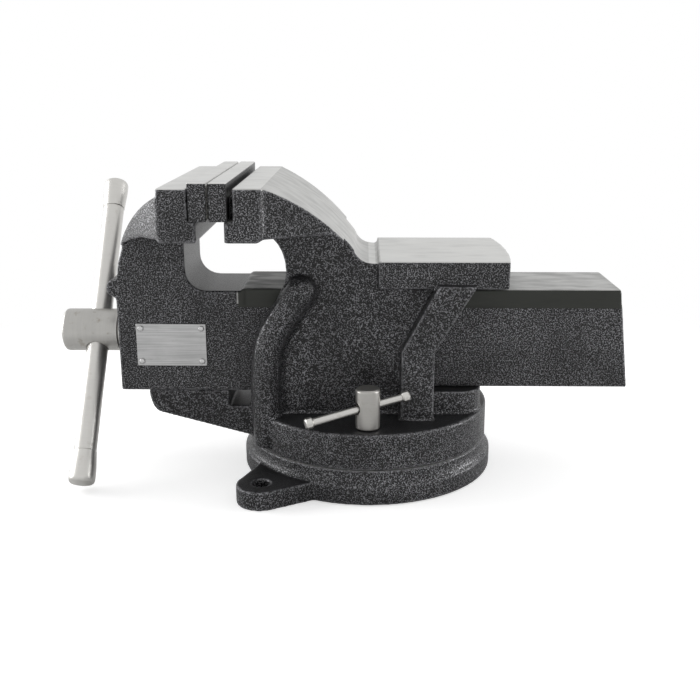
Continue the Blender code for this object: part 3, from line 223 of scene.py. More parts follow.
class Sheet:
    """One material, or the world, and its nodes."""

    def __init__(self, name, home=bpy.data.materials):
        self.material = home.new(name)
        self.material.use_nodes = True
        self.tree = self.material.node_tree
        self.tree.nodes.clear()

    def node(self, kind, settings=None, sockets=None, out=0):
        """Adds a node, its settings first and then its sockets' values or links, and gives one output."""
        made = self.tree.nodes.new(kind)
        for key, value in (settings or {}).items():
            setattr(made, key, value)
        for key, value in (sockets or {}).items():
            if isinstance(value, Wire):
                self.tree.links.new(value.socket, made.inputs[key])
            else:
                made.inputs[key].default_value = value
        return Wire(self, made.outputs[out])

    def mix(self, share, first, second):
        """Mixes two colours by a share from 0 to 1."""
        ends = {}
        for socket, value in ((6, first), (7, second)):
            ends[socket] = value if isinstance(value, Wire) else (*value, 1.0)
        return self.node("ShaderNodeMix", {"data_type": "RGBA"}, {0: share, **ends}, 2)

    def scaled(self, vector, amounts):
        return self.node("ShaderNodeVectorMath", {"operation": "MULTIPLY"}, {0: vector, 1: amounts})

    def shifted(self, vector, other):
        return self.node("ShaderNodeVectorMath", {"operation": "ADD"}, {0: vector, 1: other})

    def millimetres(self):
        """The point on the piece at rest, in millimetres."""
        place = self.node("ShaderNodeTexCoord", out="Object")
        return self.scaled(place, (1 / MM, 1 / MM, 1 / MM))

    def parts(self, vector):
        """The three parts of a vector."""
        return [self.node("ShaderNodeSeparateXYZ", None, {0: vector}, axis) for axis in "XYZ"]

    def noise(self, place, scale, detail=2.0, out="Fac"):
        return self.node("ShaderNodeTexNoise", None, {"Vector": place, "Scale": scale, "Detail": detail}, out)

    def finish(self, colour, roughness, metallic, normal, fixed=None):
        """The surface, with what varies wired in and what doesn't set on it."""
        sockets = {"Base Color": colour, "Roughness": roughness, "Metallic": metallic, "Normal": normal}
        surface = self.node("ShaderNodeBsdfPrincipled", None, {**sockets, **(fixed or {})})
        self.node_output(surface)
        return self.material

    def node_output(self, surface, kind="ShaderNodeOutputMaterial"):
        made = self.tree.nodes.new(kind)
        self.tree.links.new(surface.socket, made.inputs["Surface"])

    def bump(self, height, depth, strength=1.0, under=None):
        sockets = {"Strength": strength, "Distance": depth, "Height": height}
        if under is not None:
            sockets["Normal"] = under
        return self.node("ShaderNodeBump", None, sockets)


# Finishes

def cut_iron(sheet, place, grain, colour):
    """A cut iron face: its colour, roughness and height, with fine tool lines across the grain."""
    lines = sheet.noise(sheet.scaled(place, grain), 1.0, 3.0)
    cloud = sheet.noise(place, 0.05, 3.0)
    pits = sheet.noise(place, 1.4, 2.0).ramp(0.30, 0.22)
    smudge = sheet.noise(sheet.scaled(place, (0.04, 0.11, 0.11)), 1.0, 4.0).ramp(0.50, 0.68)
    shade = sheet.mix(lines * 0.6 + cloud * 0.4, [c * 0.74 for c in colour], [min(1, c * 1.14) for c in colour])
    shade = sheet.mix(smudge * 0.16 + pits * 0.35, shade, [c * 0.35 for c in colour])
    return shade, 0.36 + lines * 0.16 + cloud * 0.08, lines * 0.4 - pits * 0.5


def hammertone(sheet, place, paint, edges, level):
    """Hammertone paint: its colour, roughness, metal share and height. Where level is 1 the flecks thin out, a painted
    shade that darkens those faces.
    """
    width = paint.fleck_size / MM
    drift = sheet.noise(place, 0.8 / width, 1.0, "Color")
    wander = sheet.scaled(sheet.shifted(drift, (-0.5, -0.5, -0.5)), (1.3 * width,) * 3)
    moved = sheet.shifted(place, wander)
    rim = sheet.node("ShaderNodeTexVoronoi", {"feature": "DISTANCE_TO_EDGE"},
                     {"Vector": moved, "Scale": 1 / width}, "Distance")
    vein = rim.ramp(0.17, 0.08) * (1 - level * 0.85)
    broken = sheet.noise(place, 1.5 / width, 1.0).ramp(0.48, 0.56)
    cloud = sheet.noise(place, 0.035, 3.0).ramp(0.3, 0.7)
    fleck = vein * broken * (0.65 + cloud * 0.35)
    ground = sheet.mix(cloud, [c * 0.8 for c in paint.ground], [c * 1.6 for c in paint.ground])
    # Lighter paint on convex edges: edge wear, and also a painted highlight along the edges.
    bare = edges * sheet.noise(place, 0.5, 3.0).ramp(0.36, 0.58)
    colour = sheet.mix(fleck, ground, tuple(paint.fleck))
    colour = sheet.mix(bare * 0.55, colour, [c * 1.1 for c in paint.fleck])
    grain = sheet.noise(place, 3.0 / width, 2.0)
    return colour, 0.30 - fleck * 0.04 + grain * 0.08, fleck * 0.6 + bare * 0.3, vein * 0.8 + grain * 0.2


def iron_sheet(name, mask, band=None, darker_cut=None, plain=None, edge_wear_and_highlight=1.0, grain=(0.06, 1.3, 0.06)):
    """Painted iron with cut faces where the mask is 1, slide faces where the band is 1, whose near-black colour is a
    painted dark reflection on machined metal, darker cut faces where the darkening mask is 1 and paint without flecks,
    a painted shade, where plain is 1.
    Faces turned upwards lose their flecks as well, a painted shade. The edges lighten by the given share, as worn paint
    and as a painted highlight."""
    scene = bpy.context.scene
    paint, metal = scene.vise_paint, scene.vise_metal
    sheet = Sheet(name)
    place = sheet.millimetres()
    x, y, z = sheet.parts(place)
    turned = sheet.node("ShaderNodeTexCoord", out="Normal")
    nx, ny, nz = sheet.parts(turned)
    edges = sheet.node("ShaderNodeNewGeometry", out="Pointiness").ramp(0.508, 0.552) * edge_wear_and_highlight
    # Painted shade: faces turned upwards lose most of their flecks and come out darker, and so do the faces that plain
    # marks.
    level = nz.ramp(0.80, 0.96)
    if plain is not None:
        level = at_most_one(level + plain(x, y, z, nx, ny, nz))
    colour, roughness, shine, height = hammertone(sheet, place, paint, edges, level)
    cut = mask(x, y, z, nx, ny, nz)
    cut_colour, cut_roughness, cut_height = cut_iron(sheet, place, grain, tuple(metal.machined))
    if darker_cut is not None:
        smear = sheet.noise(sheet.scaled(place, (0.05, 0.12, 0.1)), 1.0, 4.0).ramp(0.35, 0.68)
        dull = darker_cut(x, y, z, nx, ny, nz)
        cut_colour = sheet.mix(dull * (0.5 + smear * 0.5), cut_colour, [c * 0.13 for c in metal.machined])
    height = height * (1 - cut) * (paint.relief / MM)
    if band is not None:
        slid = band(x, y, z, nx, ny, nz)
        # The slide faces' near-black colour is a painted dark reflection on machined metal.
        slide_dark_reflection, slide_roughness, slide_height = cut_iron(sheet, place, (0.12, 3.0, 5.0), tuple(metal.slide))
        colour = sheet.mix(slid, colour, slide_dark_reflection)
        roughness = roughness * (1 - slid) + (slide_roughness - 0.04) * slid
        shine = shine * (1 - slid) + slid * 0.55
        height = height * (1 - slid) + slide_height * slid * 0.02
    colour = sheet.mix(cut, colour, cut_colour)
    roughness = roughness * (1 - cut) + cut_roughness * cut
    shine = shine * (1 - cut) + cut * 0.85
    height = height + cut_height * cut * 0.03
    normal = sheet.bump(height, MM)
    return sheet.finish(colour, roughness, shine, normal, {"Specular IOR Level": 0.35})


def bar_metal(name, colour, origin, axis, roughness=0.30, contrast=0.16, stains=0.0, shine=1.0):
    """Turned metal: fine lines round the axis, soft clouds and faint stains."""
    sheet = Sheet(name)
    place = sheet.millimetres()
    offset = sheet.shifted(place, tuple(-c / MM for c in origin))
    along = sheet.node("ShaderNodeVectorMath", {"operation": "DOT_PRODUCT"}, {0: offset, 1: tuple(axis)}, 1)
    lengthwise = sheet.node("ShaderNodeCombineXYZ", None, {0: along * 2.2})
    rings = sheet.noise(sheet.shifted(lengthwise, sheet.scaled(offset, (0.03, 0.03, 0.03))), 1.0, 4.0)
    cloud = sheet.noise(place, 0.09, 4.0)
    spots = sheet.noise(place, 0.22, 4.0).ramp(0.58, 0.72)
    edges = sheet.node("ShaderNodeNewGeometry", out="Pointiness").ramp(0.52, 0.60)
    shade = sheet.mix(rings * 0.5 + cloud * 0.5, [c * (1 - contrast) for c in colour],
                      [min(1, c * (1 + contrast)) for c in colour])
    rust = [share * part / 0.6 for share, part in zip((0.30, 0.25, 0.19), colour)]
    shade = sheet.mix(spots * (0.12 + stains), shade, rust)
    shade = sheet.mix(edges * 0.35, shade, [min(1, c * 1.25) for c in colour])
    normal = sheet.bump(rings * 0.012 + cloud * 0.02, MM)
    return sheet.finish(shade, roughness + rings * 0.12 + spots * 0.08, shine, normal)


def plate_metal(name, colour):
    """Rolled aluminium with long fine brush lines and soft handling marks."""
    sheet = Sheet(name)
    place = sheet.millimetres()
    lines = sheet.noise(sheet.scaled(place, (0.03, 1.0, 1.5)), 1.0, 4.0)
    cloud = sheet.noise(place, 0.11, 3.0)
    marks = sheet.noise(sheet.scaled(place, (0.4, 1.0, 0.9)), 1.0, 5.0).ramp(0.60, 0.74)
    shade = sheet.mix(lines.ramp(0.3, 0.7) * 0.6 + cloud * 0.4, [c * 0.74 for c in colour], [c * 1.26 for c in colour])
    shade = sheet.mix(marks * 0.25, shade, [c * 0.55 for c in colour])
    normal = sheet.bump(lines * 0.015, MM)
    return sheet.finish(shade, 0.34 + lines * 0.14, 1.0, normal)


# Geometry

def show(name, mesh, material, body, nodes=()):
    """Puts a finished mesh into the scene as a piece that rides on its body."""
    piece = bpy.data.objects.new(name, mesh)
    bpy.context.scene.collection.objects.link(piece)
    mesh.materials.clear()
    mesh.materials.append(material)
    if nodes:
        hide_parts(*nodes)
    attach(piece, body)
    return piece


def mesh_from(shape, name, crease=35):
    """A mesh from a bmesh, smooth except at edges sharper than the crease."""
    bmesh.ops.recalc_face_normals(shape, faces=shape.faces)
    mesh = bpy.data.meshes.new(name)
    shape.to_mesh(mesh)
    shape.free()
    mesh.shade_smooth()
    mesh.set_sharp_from_angle(angle=math.radians(crease))
    return mesh


def baked(mesh, *steps, crease=None):
    """The mesh with modifiers worked into it. Each step is a modifier's kind and its settings."""
    stand = bpy.data.objects.new("bench", mesh)
    bpy.context.scene.collection.objects.link(stand)
    for kind, settings in steps:
        modifier = stand.modifiers.new(kind.title(), kind)
        for key, value in settings.items():
            setattr(modifier, key, value)
    bpy.context.view_layer.update()
    result = bpy.data.meshes.new_from_object(stand.evaluated_get(bpy.context.evaluated_depsgraph_get()))
    bpy.data.objects.remove(stand)
    if crease is not None:
        result.shade_smooth()
        result.set_sharp_from_angle(angle=math.radians(crease))
    return result


def drilled(mesh, *drills, crease=30):
    """The mesh with the drills' shapes cut out of it."""
    tools = []
    for drill in drills:
        tool = bpy.data.objects.new("drill", drill)
        bpy.context.scene.collection.objects.link(tool)
        tools.append(tool)
    cuts = [("BOOLEAN", {"operation": "DIFFERENCE", "solver": "EXACT", "object": tool}) for tool in tools]
    result = baked(mesh, *cuts, crease=crease)
    for tool in tools:
        bpy.data.objects.remove(tool)
    return result


def softened(profile, radius, steps=4):
    """A profile with each inner corner rounded by up to the radius."""
    points = [Vector(point) for point in profile]
    result = [points[0]]
    for before, corner, after in zip(points, points[1:], points[2:]):
        back, ahead = before - corner, after - corner
        reach = min(radius, back.length * 0.45, ahead.length * 0.45)
        if reach < 1e-6 or back.angle(ahead) > math.radians(165):
            result.append(corner)
            continue
        start, end = corner + back.normalized() * reach, corner + ahead.normalized() * reach
        for step in range(steps + 1):
            share = step / steps
            result.append(start * (1 - share) ** 2 + corner * 2 * share * (1 - share) + end * share ** 2)
    result.append(points[-1])
    return [tuple(point) for point in result]


def flats(count, amount=1.0):
    """A shape factor that gives a turned piece a number of flats."""
    def factor(angle):
        step = 2 * math.pi / count
        turn = (angle + step / 2) % step - step / 2
        return 1 - amount + amount * math.cos(math.pi / count) / math.cos(turn)
    return factor


def turned(name, profile, foot, axis, sides=64, shape=None, crease=30, whirl=None):
    """A turned piece: a profile of distances along the axis and radii, swept round it."""
    axis = Vector(axis).normalized()
    level = Vector(foot)
    spin = axis.to_track_quat("Z", "Y").to_matrix()
    made = bmesh.new()
    rings = []
    for number, (distance, radius) in enumerate(profile):
        if radius < 1e-7:
            rings.append([made.verts.new(level + axis * distance)])
            continue
        ring = []
        for side in range(sides):
            angle = 2 * math.pi * side / sides
            reach = radius
            if shape is not None and shape[number] is not None:
                reach *= shape[number](angle)
            if whirl is not None:
                reach = whirl(distance, angle, reach)
            outward = spin @ Vector((reach * math.cos(angle), reach * math.sin(angle), 0))
            ring.append(made.verts.new(level + axis * distance + outward))
        rings.append(ring)
    for low, high in zip(rings, rings[1:]):
        for side in range(sides):
            after = (side + 1) % sides
            corners = [low[side % len(low)], low[after % len(low)], high[after % len(high)], high[side % len(high)]]
            unique = list(dict.fromkeys(corners))
            if len(unique) > 2:
                made.faces.new(unique)
    return mesh_from(made, name, crease)


def drill(start, end, radius, mouth=0.0, sides=40):
    """A round cutter from start to end that widens at both ends for a chamfered hole."""
    start, end = Vector(start), Vector(end)
    length = (end - start).length
    flare = mouth * 2
    profile = [(0, 0), (0, radius), (length, radius), (length, 0)]
    if mouth:
        profile = [(0, 0), (0, radius + flare), (flare, radius),
                   (length - flare, radius), (length, radius + flare), (length, 0)]
    return turned("drill", profile, start, end - start, sides)


def casting_skin(node):
    """A casting's solid with a fine skin whose edges are rounded as sand, grinding and paint leave them."""
    sizes = bpy.context.scene.vise_casting
    rough = bmesh.new()
    rough.from_mesh(frame["nodes"][node].data)
    bmesh.ops.remove_doubles(rough, verts=rough.verts, dist=1e-6)
    mesh = mesh_from(rough, node)
    skin = baked(mesh, ("REMESH", {"mode": "VOXEL", "voxel_size": sizes.cell, "adaptivity": 0.0}),
                 ("SMOOTH", {"factor": 0.5, "iterations": sizes.rounds}))
    skin.shade_smooth()
    return skin


def rest_box(node):
    """A node's lowest and highest corners."""
    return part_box(node)


# Pieces

class VISE_OT_swivel_base(Operator):
    """Make the round base with its two bolt ears"""
    bl_idname = "vise.swivel_base"
    bl_label = "Swivel base"

    def execute(self, context):
        top = rest_box("swivel_base")[1].z / MM

        def seat(x, y, z, nx, ny, nz):
            return (z > top - 0.35) * (nz > 0.8) * (x * x + y * y < SEAT_RADIUS ** 2)

        show("base_casting", casting_skin("swivel_base"), iron_sheet("painted base iron", seat), "base",
             ["swivel_base"])
        return {"FINISHED"}


class VISE_OT_fixed_casting(Operator):
    """Make the casting with the turntable, walls, rear jaw and anvil"""
    bl_idname = "vise.fixed_casting"
    bl_label = "Fixed casting"

    def execute(self, context):
        block = rest_box("fixed_jaw")[1].z / MM

        def cut_faces(x, y, z, nx, ny, nz):
            crown = (z > ANVIL_TOP - 2.9) * (x < CROWN_END) * (abs(ny) < 0.45) * (nz > 0.12)
            face = (z > ANVIL_TOP - 0.75) * (nz > 0.35) * (x > 4.0)
            brow = (z > block - 0.6) * (nz > 0.35)
            return at_most_one(crown + face + brow)

        # Painted shade: the crown's sloping cut faces are darker than its flat top, unevenly by a random smear.
        def dull_faces(x, y, z, nx, ny, nz):
            return (nz < 0.985) * (x < CROWN_END) * 0.34

        iron = iron_sheet("painted body iron", cut_faces, darker_cut=dull_faces)
        show("fixed_casting", casting_skin("fixed_jaw"), iron, "fixed_body", ["fixed_jaw"])
        return {"FINISHED"}


class VISE_OT_moving_casting(Operator):
    """Make the moving jaw with its slide bar"""
    bl_idname = "vise.moving_casting"
    bl_label = "Moving casting"

    def execute(self, context):
        block = rest_box("moving_jaw")[1].z / MM

        def cut_faces(x, y, z, nx, ny, nz):
            brow = (z > block - 0.6) * (nz > 0.35)
            slide = (z > RAIL_TOP - 0.5) * (z < RAIL_TOP + 2.0) * (nz > 0.35) * (x > -78.5)
            end = (abs(x - RAIL_END) < 0.5) * (z > RAIL_TOP - 9.5) * (z < RAIL_TOP - 0.3) * (abs(y) > RAIL_SIDE)
            return at_most_one(brow + slide + end)

        def slide_faces(x, y, z, nx, ny, nz):
            return (z > RAIL_TOP - 11.9) * (z < RAIL_TOP + 0.5) * (abs(y) > RAIL_SIDE) * (x > RAIL_END + 0.4)

        def dull_faces(x, y, z, nx, ny, nz):
            return (z < RAIL_TOP + 3.0) * (1 - x.ramp(-10.0, 120.0) * 0.45)

        # Painted shade: the head's faces turned towards the throat lose their flecks and come out darker.
        def throat_shade(x, y, z, nx, ny, nz):
            return (x < -70.0) * (z > RAIL_TOP - 2.0) * nx.ramp(0.3, 0.6)

        iron = iron_sheet("painted slide iron", cut_faces, slide_faces, dull_faces, throat_shade)
        show("moving_casting", casting_skin("moving_jaw"), iron, "moving_body", ["moving_jaw"])
        return {"FINISHED"}


def at_most_one(value):
    """A mask held between 0 and 1."""
    return value._math("MINIMUM", value, 1.0)


def plate_block(name, low, high, grip, sizes):
    """A jaw plate: a chamfered block whose gripping face carries crossed grooves."""
    chamfer, tooth = sizes.chamfer, sizes.tooth
    face_x, back_x = (low.x, high.x) if grip < 0 else (high.x, low.x)
    inward = 1 if grip < 0 else -1
    across = max(2, round((high.y - low.y - 2 * chamfer) / tooth))
    up = max(2, round((high.z - low.z - 2 * chamfer) / tooth))
    made = bmesh.new()

    def ring(x, inset):
        """The outline of the block at one depth, point for point with the edge of the grooved face."""
        y0, y1, z0, z1 = low.y + inset, high.y - inset, low.z + inset, high.z - inset
        spots = [(y0 + (y1 - y0) * i / across, z0) for i in range(across)]
        spots += [(y1, z0 + (z1 - z0) * i / up) for i in range(up)]
        spots += [(y1 - (y1 - y0) * i / across, z1) for i in range(across)]
        spots += [(y0, z1 - (z1 - z0) * i / up) for i in range(up)]
        return [made.verts.new((x, y, z)) for y, z in spots]

    grid = []
    for i in range(across + 1):
        column = []
        for j in range(up + 1):
            edge = i in (0, across) or j in (0, up)
            sunk = sizes.depth if edge or (i + j) % 2 else 0
            column.append(made.verts.new((face_x + inward * sunk,
                                          low.y + chamfer + (high.y - low.y - 2 * chamfer) * i / across,
                                          low.z + chamfer + (high.z - low.z - 2 * chamfer) * j / up)))
        grid.append(column)
    for i in range(across):
        for j in range(up):
            a, b, c, d = grid[i][j], grid[i + 1][j], grid[i + 1][j + 1], grid[i][j + 1]
            if (i + j) % 2 == 0:
                made.faces.new((a, b, d))
                made.faces.new((b, c, d))
            else:
                made.faces.new((a, b, c))
                made.faces.new((a, c, d))
    rim = [grid[i][0] for i in range(across)] + [grid[across][j] for j in range(up)]
    rim += [grid[across - i][up] for i in range(across)] + [grid[0][up - j] for j in range(up)]
    rings = [rim, ring(face_x + inward * (sizes.depth + chamfer), 0), ring(back_x - inward * chamfer, 0),
             ring(back_x, chamfer)]
    for first, second in zip(rings, rings[1:]):
        for i in range(len(first)):
            j = (i + 1) % len(first)
            made.faces.new((first[i], first[j], second[j], second[i]))
    made.faces.new(rings[-1])
    return mesh_from(made, name, 20)


class VISE_OT_jaw_plates(Operator):
    """Make the two grooved jaw plates"""
    bl_idname = "vise.jaw_plates"
    bl_label = "Jaw plates"

    def execute(self, context):
        sizes = context.scene.vise_plates
        for which, grip in (("fixed", -1), ("moving", 1)):
            node = f"jaw_plate_{which}"
            low, high = rest_box(node)
            mesh = plate_block(node, low, high, grip, sizes)
            drills = []
            for side in ("near", "far"):
                bottom, top = rest_box(f"jaw_screw_{which}_{side}")
                middle, radius = (bottom + top) / 2, (top.y - bottom.y) / 2 + 0.3 * MM
                face_x = low.x if grip < 0 else high.x
                inward = 1 if grip < 0 else -1
                seat = (bottom.x if grip < 0 else top.x) + inward * 6.3 * MM
                drills.append(drill((face_x - inward * 2 * MM, middle.y, middle.z), (seat, middle.y, middle.z), radius))
                drills.append(drill((seat - inward * MM, middle.y, middle.z),
                                    (face_x + inward * 14 * MM, middle.y, middle.z), 3.8 * MM))
            mesh = drilled(mesh, *drills, crease=20)
            top_z, near_y = high.z / MM, high.y / MM
            face_mm = (low.x if grip < 0 else high.x) / MM

            def bare(x, y, z, nx, ny, nz, top_z=top_z, near_y=near_y, face_mm=face_mm):
                brow = z > top_z - 0.45
                bite = (abs(x - face_mm) < 7.0) * (abs(y) < near_y - 1.3) * (abs(nx) > 0.2)
                return at_most_one(brow + bite)

            # Painted shade: a plate's back face, in the gap against its jaw block, loses its flecks and comes out
            # darker.
            def back(x, y, z, nx, ny, nz, inward=-grip):
                return nx * inward > 0.5

            iron = iron_sheet(f"{which} plate iron", bare, plain=back, edge_wear_and_highlight=0.0)
            show(f"{node}_grooved", mesh, iron, f"{which}_body",
                 [node])
        return {"FINISHED"}


class VISE_OT_jaw_screws(Operator):
    """Make the four socket screws that hold the jaw plates"""
    bl_idname = "vise.jaw_screws"
    bl_label = "Jaw screws"

    def execute(self, context):
        sizes, colour = context.scene.vise_plates, tuple(context.scene.vise_metal.dark_steel)
        for which, grip in (("fixed", -1), ("moving", 1)):
            for side in ("near", "far"):
                node = f"jaw_screw_{which}_{side}"
                low, high = rest_box(node)
                inward = 1 if grip < 0 else -1
                head = (low.x if grip < 0 else high.x, (low.y + high.y) / 2, (low.z + high.z) / 2)
                rim, length = (high.y - low.y) / 2, high.x - low.x
                hexagon = flats(6)
                reach = sizes.socket / 2 / math.cos(math.pi / 6)
                profile = [(3.4 * MM, 0), (3.0 * MM, reach * 0.98), (0.35 * MM, reach), (0, reach + 0.35 * MM),
                           (0, rim - 0.9 * MM), (0.25 * MM, rim - 0.35 * MM), (0.9 * MM, rim), (5.7 * MM, rim),
                           (6.0 * MM, rim - 0.3 * MM), (6.0 * MM, 3.5 * MM), (length - 0.8 * MM, 3.5 * MM),
                           (length, 2.7 * MM), (length, 0)]
                shapes = [None, hexagon, hexagon] + [None] * (len(profile) - 3)
                mesh = turned(node, profile, head, X_AXIS * inward, 48, shapes)
                metal = bar_metal(f"{node} steel", colour, head, X_AXIS, 0.36, 0.25)
                show(f"{node}_socket", mesh, metal, f"{which}_body", [node])
        return {"FINISHED"}


class VISE_OT_name_plate(Operator):
    """Make the plain name plate and its four rivets"""
    bl_idname = "vise.name_plate"
    bl_label = "Name plate"

    def execute(self, context):
        colour = tuple(context.scene.vise_metal.aluminium)
        low, high = rest_box("name_plate")
        made = bmesh.new()
        edge, corner = 0.18 * MM, 0.9 * MM
        rings = []
        for y, inset in ((high.y, 0.0), (low.y + edge, 0.0), (low.y, edge)):
            ring = []
            for cx, cz, start in ((high.x, high.z, 0), (low.x, high.z, 90), (low.x, low.z, 180), (high.x, low.z, 270)):
                sx, sz = (1 if cx == high.x else -1), (1 if cz == high.z else -1)
                for step in range(6):
                    angle = math.radians(start + 18 * step)
                    ring.append(made.verts.new((cx - sx * (corner + inset) + corner * math.cos(angle), y,
                                                cz - sz * (corner + inset) + corner * math.sin(angle))))
            rings.append(ring)
        made.faces.new(rings[0])
        for first, second in zip(rings, rings[1:]):
            for i in range(len(first)):
                j = (i + 1) % len(first)
                made.faces.new((first[i], first[j], second[j], second[i]))
        made.faces.new(rings[-1])
        show("name_plate_sheet", mesh_from(made, "name_plate", 30), plate_metal("brushed plate", colour),
             "moving_body", ["name_plate"])
        for number in (1, 2, 3, 4):
            node = f"name_plate_rivet_{number}"
            low, high = rest_box(node)
            rim, head = (high.x - low.x) / 2, 0.9 * MM
            foot = ((low.x + high.x) / 2, low.y, (low.z + high.z) / 2)
            dome = [(head * (1 - math.cos(math.radians(a))), rim * math.sin(math.radians(a))) for a in range(0, 91, 10)]
            length = high.y - low.y
            profile = dome + [(head, 1.0 * MM), (length, 1.0 * MM), (length, 0)]
            mesh = turned(node, profile, foot, (0, 1, 0), 24)
            metal = bar_metal(f"{node} metal", [min(1, c * 1.2) for c in colour], foot, (0, 1, 0), 0.2, 0.1)
            show(f"{node}_domed", mesh, metal, "moving_body", [node])
        return {"FINISHED"}


class VISE_OT_spindle(Operator):
    """Make the spindle with its cross-drilled head and thread, and dress what holds it"""
    bl_idname = "vise.spindle"
    bl_label = "Spindle"

    def execute(self, context):
        sizes, metal = context.scene.vise_spindle, context.scene.vise_metal
        low, high = rest_box("spindle")
        centre = Vector((low.x, 0, (low.z + high.z) / 2))
        head, length = (high.z - low.z) / 2, high.x - low.x
        journal, screw, neck, shank = 9 * MM, 11 * MM, 37 * MM, 74.9 * MM
        edge = sizes.edge
        front = [(0, 0), (0, head - edge), (edge * 0.12, head - edge * 0.55), (edge * 0.5, head - edge * 0.12),
                 (edge, head), (neck - 2.2 * MM, head), (neck - 1.4 * MM, head - 0.25 * MM),
                 (neck - 0.7 * MM, head - 0.2 * MM), (neck, head - 1.0 * MM), (neck, journal), (shank, journal)]
        steps = int((length - shank) / (sizes.pitch / 8))
        run = [(shank + 0.01 * MM + (length - shank - 0.02 * MM) * i / steps, screw) for i in range(steps + 1)]
        profile = front + run + [(length, screw - 2.5 * MM), (length, 0)]

        def thread(distance, angle, reach):
            if abs(reach - screw) > 1e-7:
                return reach
            phase = (distance / sizes.pitch - angle / (2 * math.pi)) % 1.0
            ridge = min(1.0, max(0.0, 2.2 - abs(phase - 0.5) * 8))
            ends = min(1.0, max(0.0, (distance - shank) / (2 * MM)), max(0.0, (length - distance) / (3 * MM)))
            return screw - sizes.thread_depth * (1 - ridge * ends)

        mesh = turned("spindle", profile, centre, X_AXIS, 48, whirl=thread, crease=40)
        slide = Vector(JOINTS["handle_slide"]["axis"])
        middle = centre + X_AXIS * (neck - 15.3 * MM)
        reach = slide * (head + 3 * MM)
        mesh = drilled(mesh, drill(middle - reach, middle + reach, 7.3 * MM, 1.6 * MM, 48), crease=40)
        steel = bar_metal("spindle steel", [c * 0.72 for c in metal.steel], centre, X_AXIS, 0.30, 0.20, 0.30)
        show("spindle_threaded", mesh, steel, "spindle_body", ["spindle"])
        dark = bar_metal("collar steel", tuple(metal.dark_steel), centre, X_AXIS, 0.36, 0.25)
        for node, look in (("thrust_washer", steel), ("spindle_collar", dark), ("collar_pin", steel)):
            dress(node, look)
        return {"FINISHED"}


def dress(node, material):
    """Gives a solid whose shape is right its finish."""
    mesh_object = frame["nodes"][node]
    for slot in mesh_object.material_slots:
        slot.link = "OBJECT"
        slot.material = material


class VISE_OT_inner_parts(Operator):
    """Dress the spindle nut, its bolt, the pivot screw and the clamp bolts"""
    bl_idname = "vise.inner_parts"
    bl_label = "Inner parts"

    def execute(self, context):
        metal = context.scene.vise_metal
        iron = bar_metal("nut iron", [c * 0.6 for c in metal.machined], (0, 0, 0.0888), X_AXIS, 0.40, 0.2)
        dark = bar_metal("bolt steel", tuple(metal.dark_steel), (0, 0, 0), Z_AXIS, 0.38, 0.25)
        washer = bar_metal("washer steel", tuple(metal.steel), (0, 0, 0), Z_AXIS, 0.32, 0.2)
        for node, look in (("spindle_nut", iron), ("nut_bolt", dark), ("pivot_screw", dark), ("pivot_washer", washer),
                           ("lock_bolt_near", dark), ("lock_bolt_far", dark)):
            dress(node, look)
        return {"FINISHED"}


def knob_profile(length, rim, bar, crown, waist):
    """A knob that starts at the bar, swells to its rim and ends in a rounded crown."""
    start = bar + (rim - bar) * 0.25
    body = [(0, bar - 0.4 * MM), (0, start - 0.25 * MM), (0.25 * MM, start),
            (length * 0.22, start + (rim - start) * 0.35), (length * 0.5, rim - waist * 0.15), (length * 0.78, rim)]
    crown_points = [(length - crown + crown * math.sin(math.radians(a)),
                     rim - crown * 0.62 + crown * 0.62 * math.cos(math.radians(a))) for a in range(10, 91, 16)]
    return body + crown_points + [(length + 0.0 * MM, (rim - crown * 0.62) * 0.5), (length, 0)]


class VISE_OT_handle(Operator):
    """Make the sliding handle and its two knobs"""
    bl_idname = "vise.handle"
    bl_label = "Handle"

    def execute(self, context):
        sizes, metal = context.scene.vise_handle, context.scene.vise_metal
        axis = Vector(JOINTS["handle_slide"]["axis"]).normalized()
        z = (rest_box("spindle")[0].z + rest_box("spindle")[1].z) / 2
        middle = Vector((rest_box("spindle")[0].x + 21.7 * MM, 0, z))
        below, above, knob, bar, rim = 105.4 * MM, 114 * MM, 21 * MM, 7 * MM, 8.25 * MM
        steel = bar_metal("handle steel", tuple(metal.steel), middle, axis, 0.30, 0.12)
        profile = softened([(0, 0), (0, bar), (above + below - 2 * knob, bar), (above + below - 2 * knob, 0)], 0.5 * MM)
        rod = turned("handle_rod", profile, middle - axis * (below - knob), axis, 64)
        show("handle_rod", rod, steel, "handle_body", ["handle_bar"])
        for end, way, reach in (("upper", 1, above), ("lower", -1, below)):
            foot = middle + axis * way * (reach - knob)
            shape = knob_profile(knob, rim, bar, sizes.crown, sizes.waist)
            mesh = turned(f"handle_knob_{end}", [(0, 0)] + shape, foot, axis * way, 64)
            show(f"handle_end_{end}", mesh, steel, "handle_body", [f"handle_knob_{end}"])
        return {"FINISHED"}


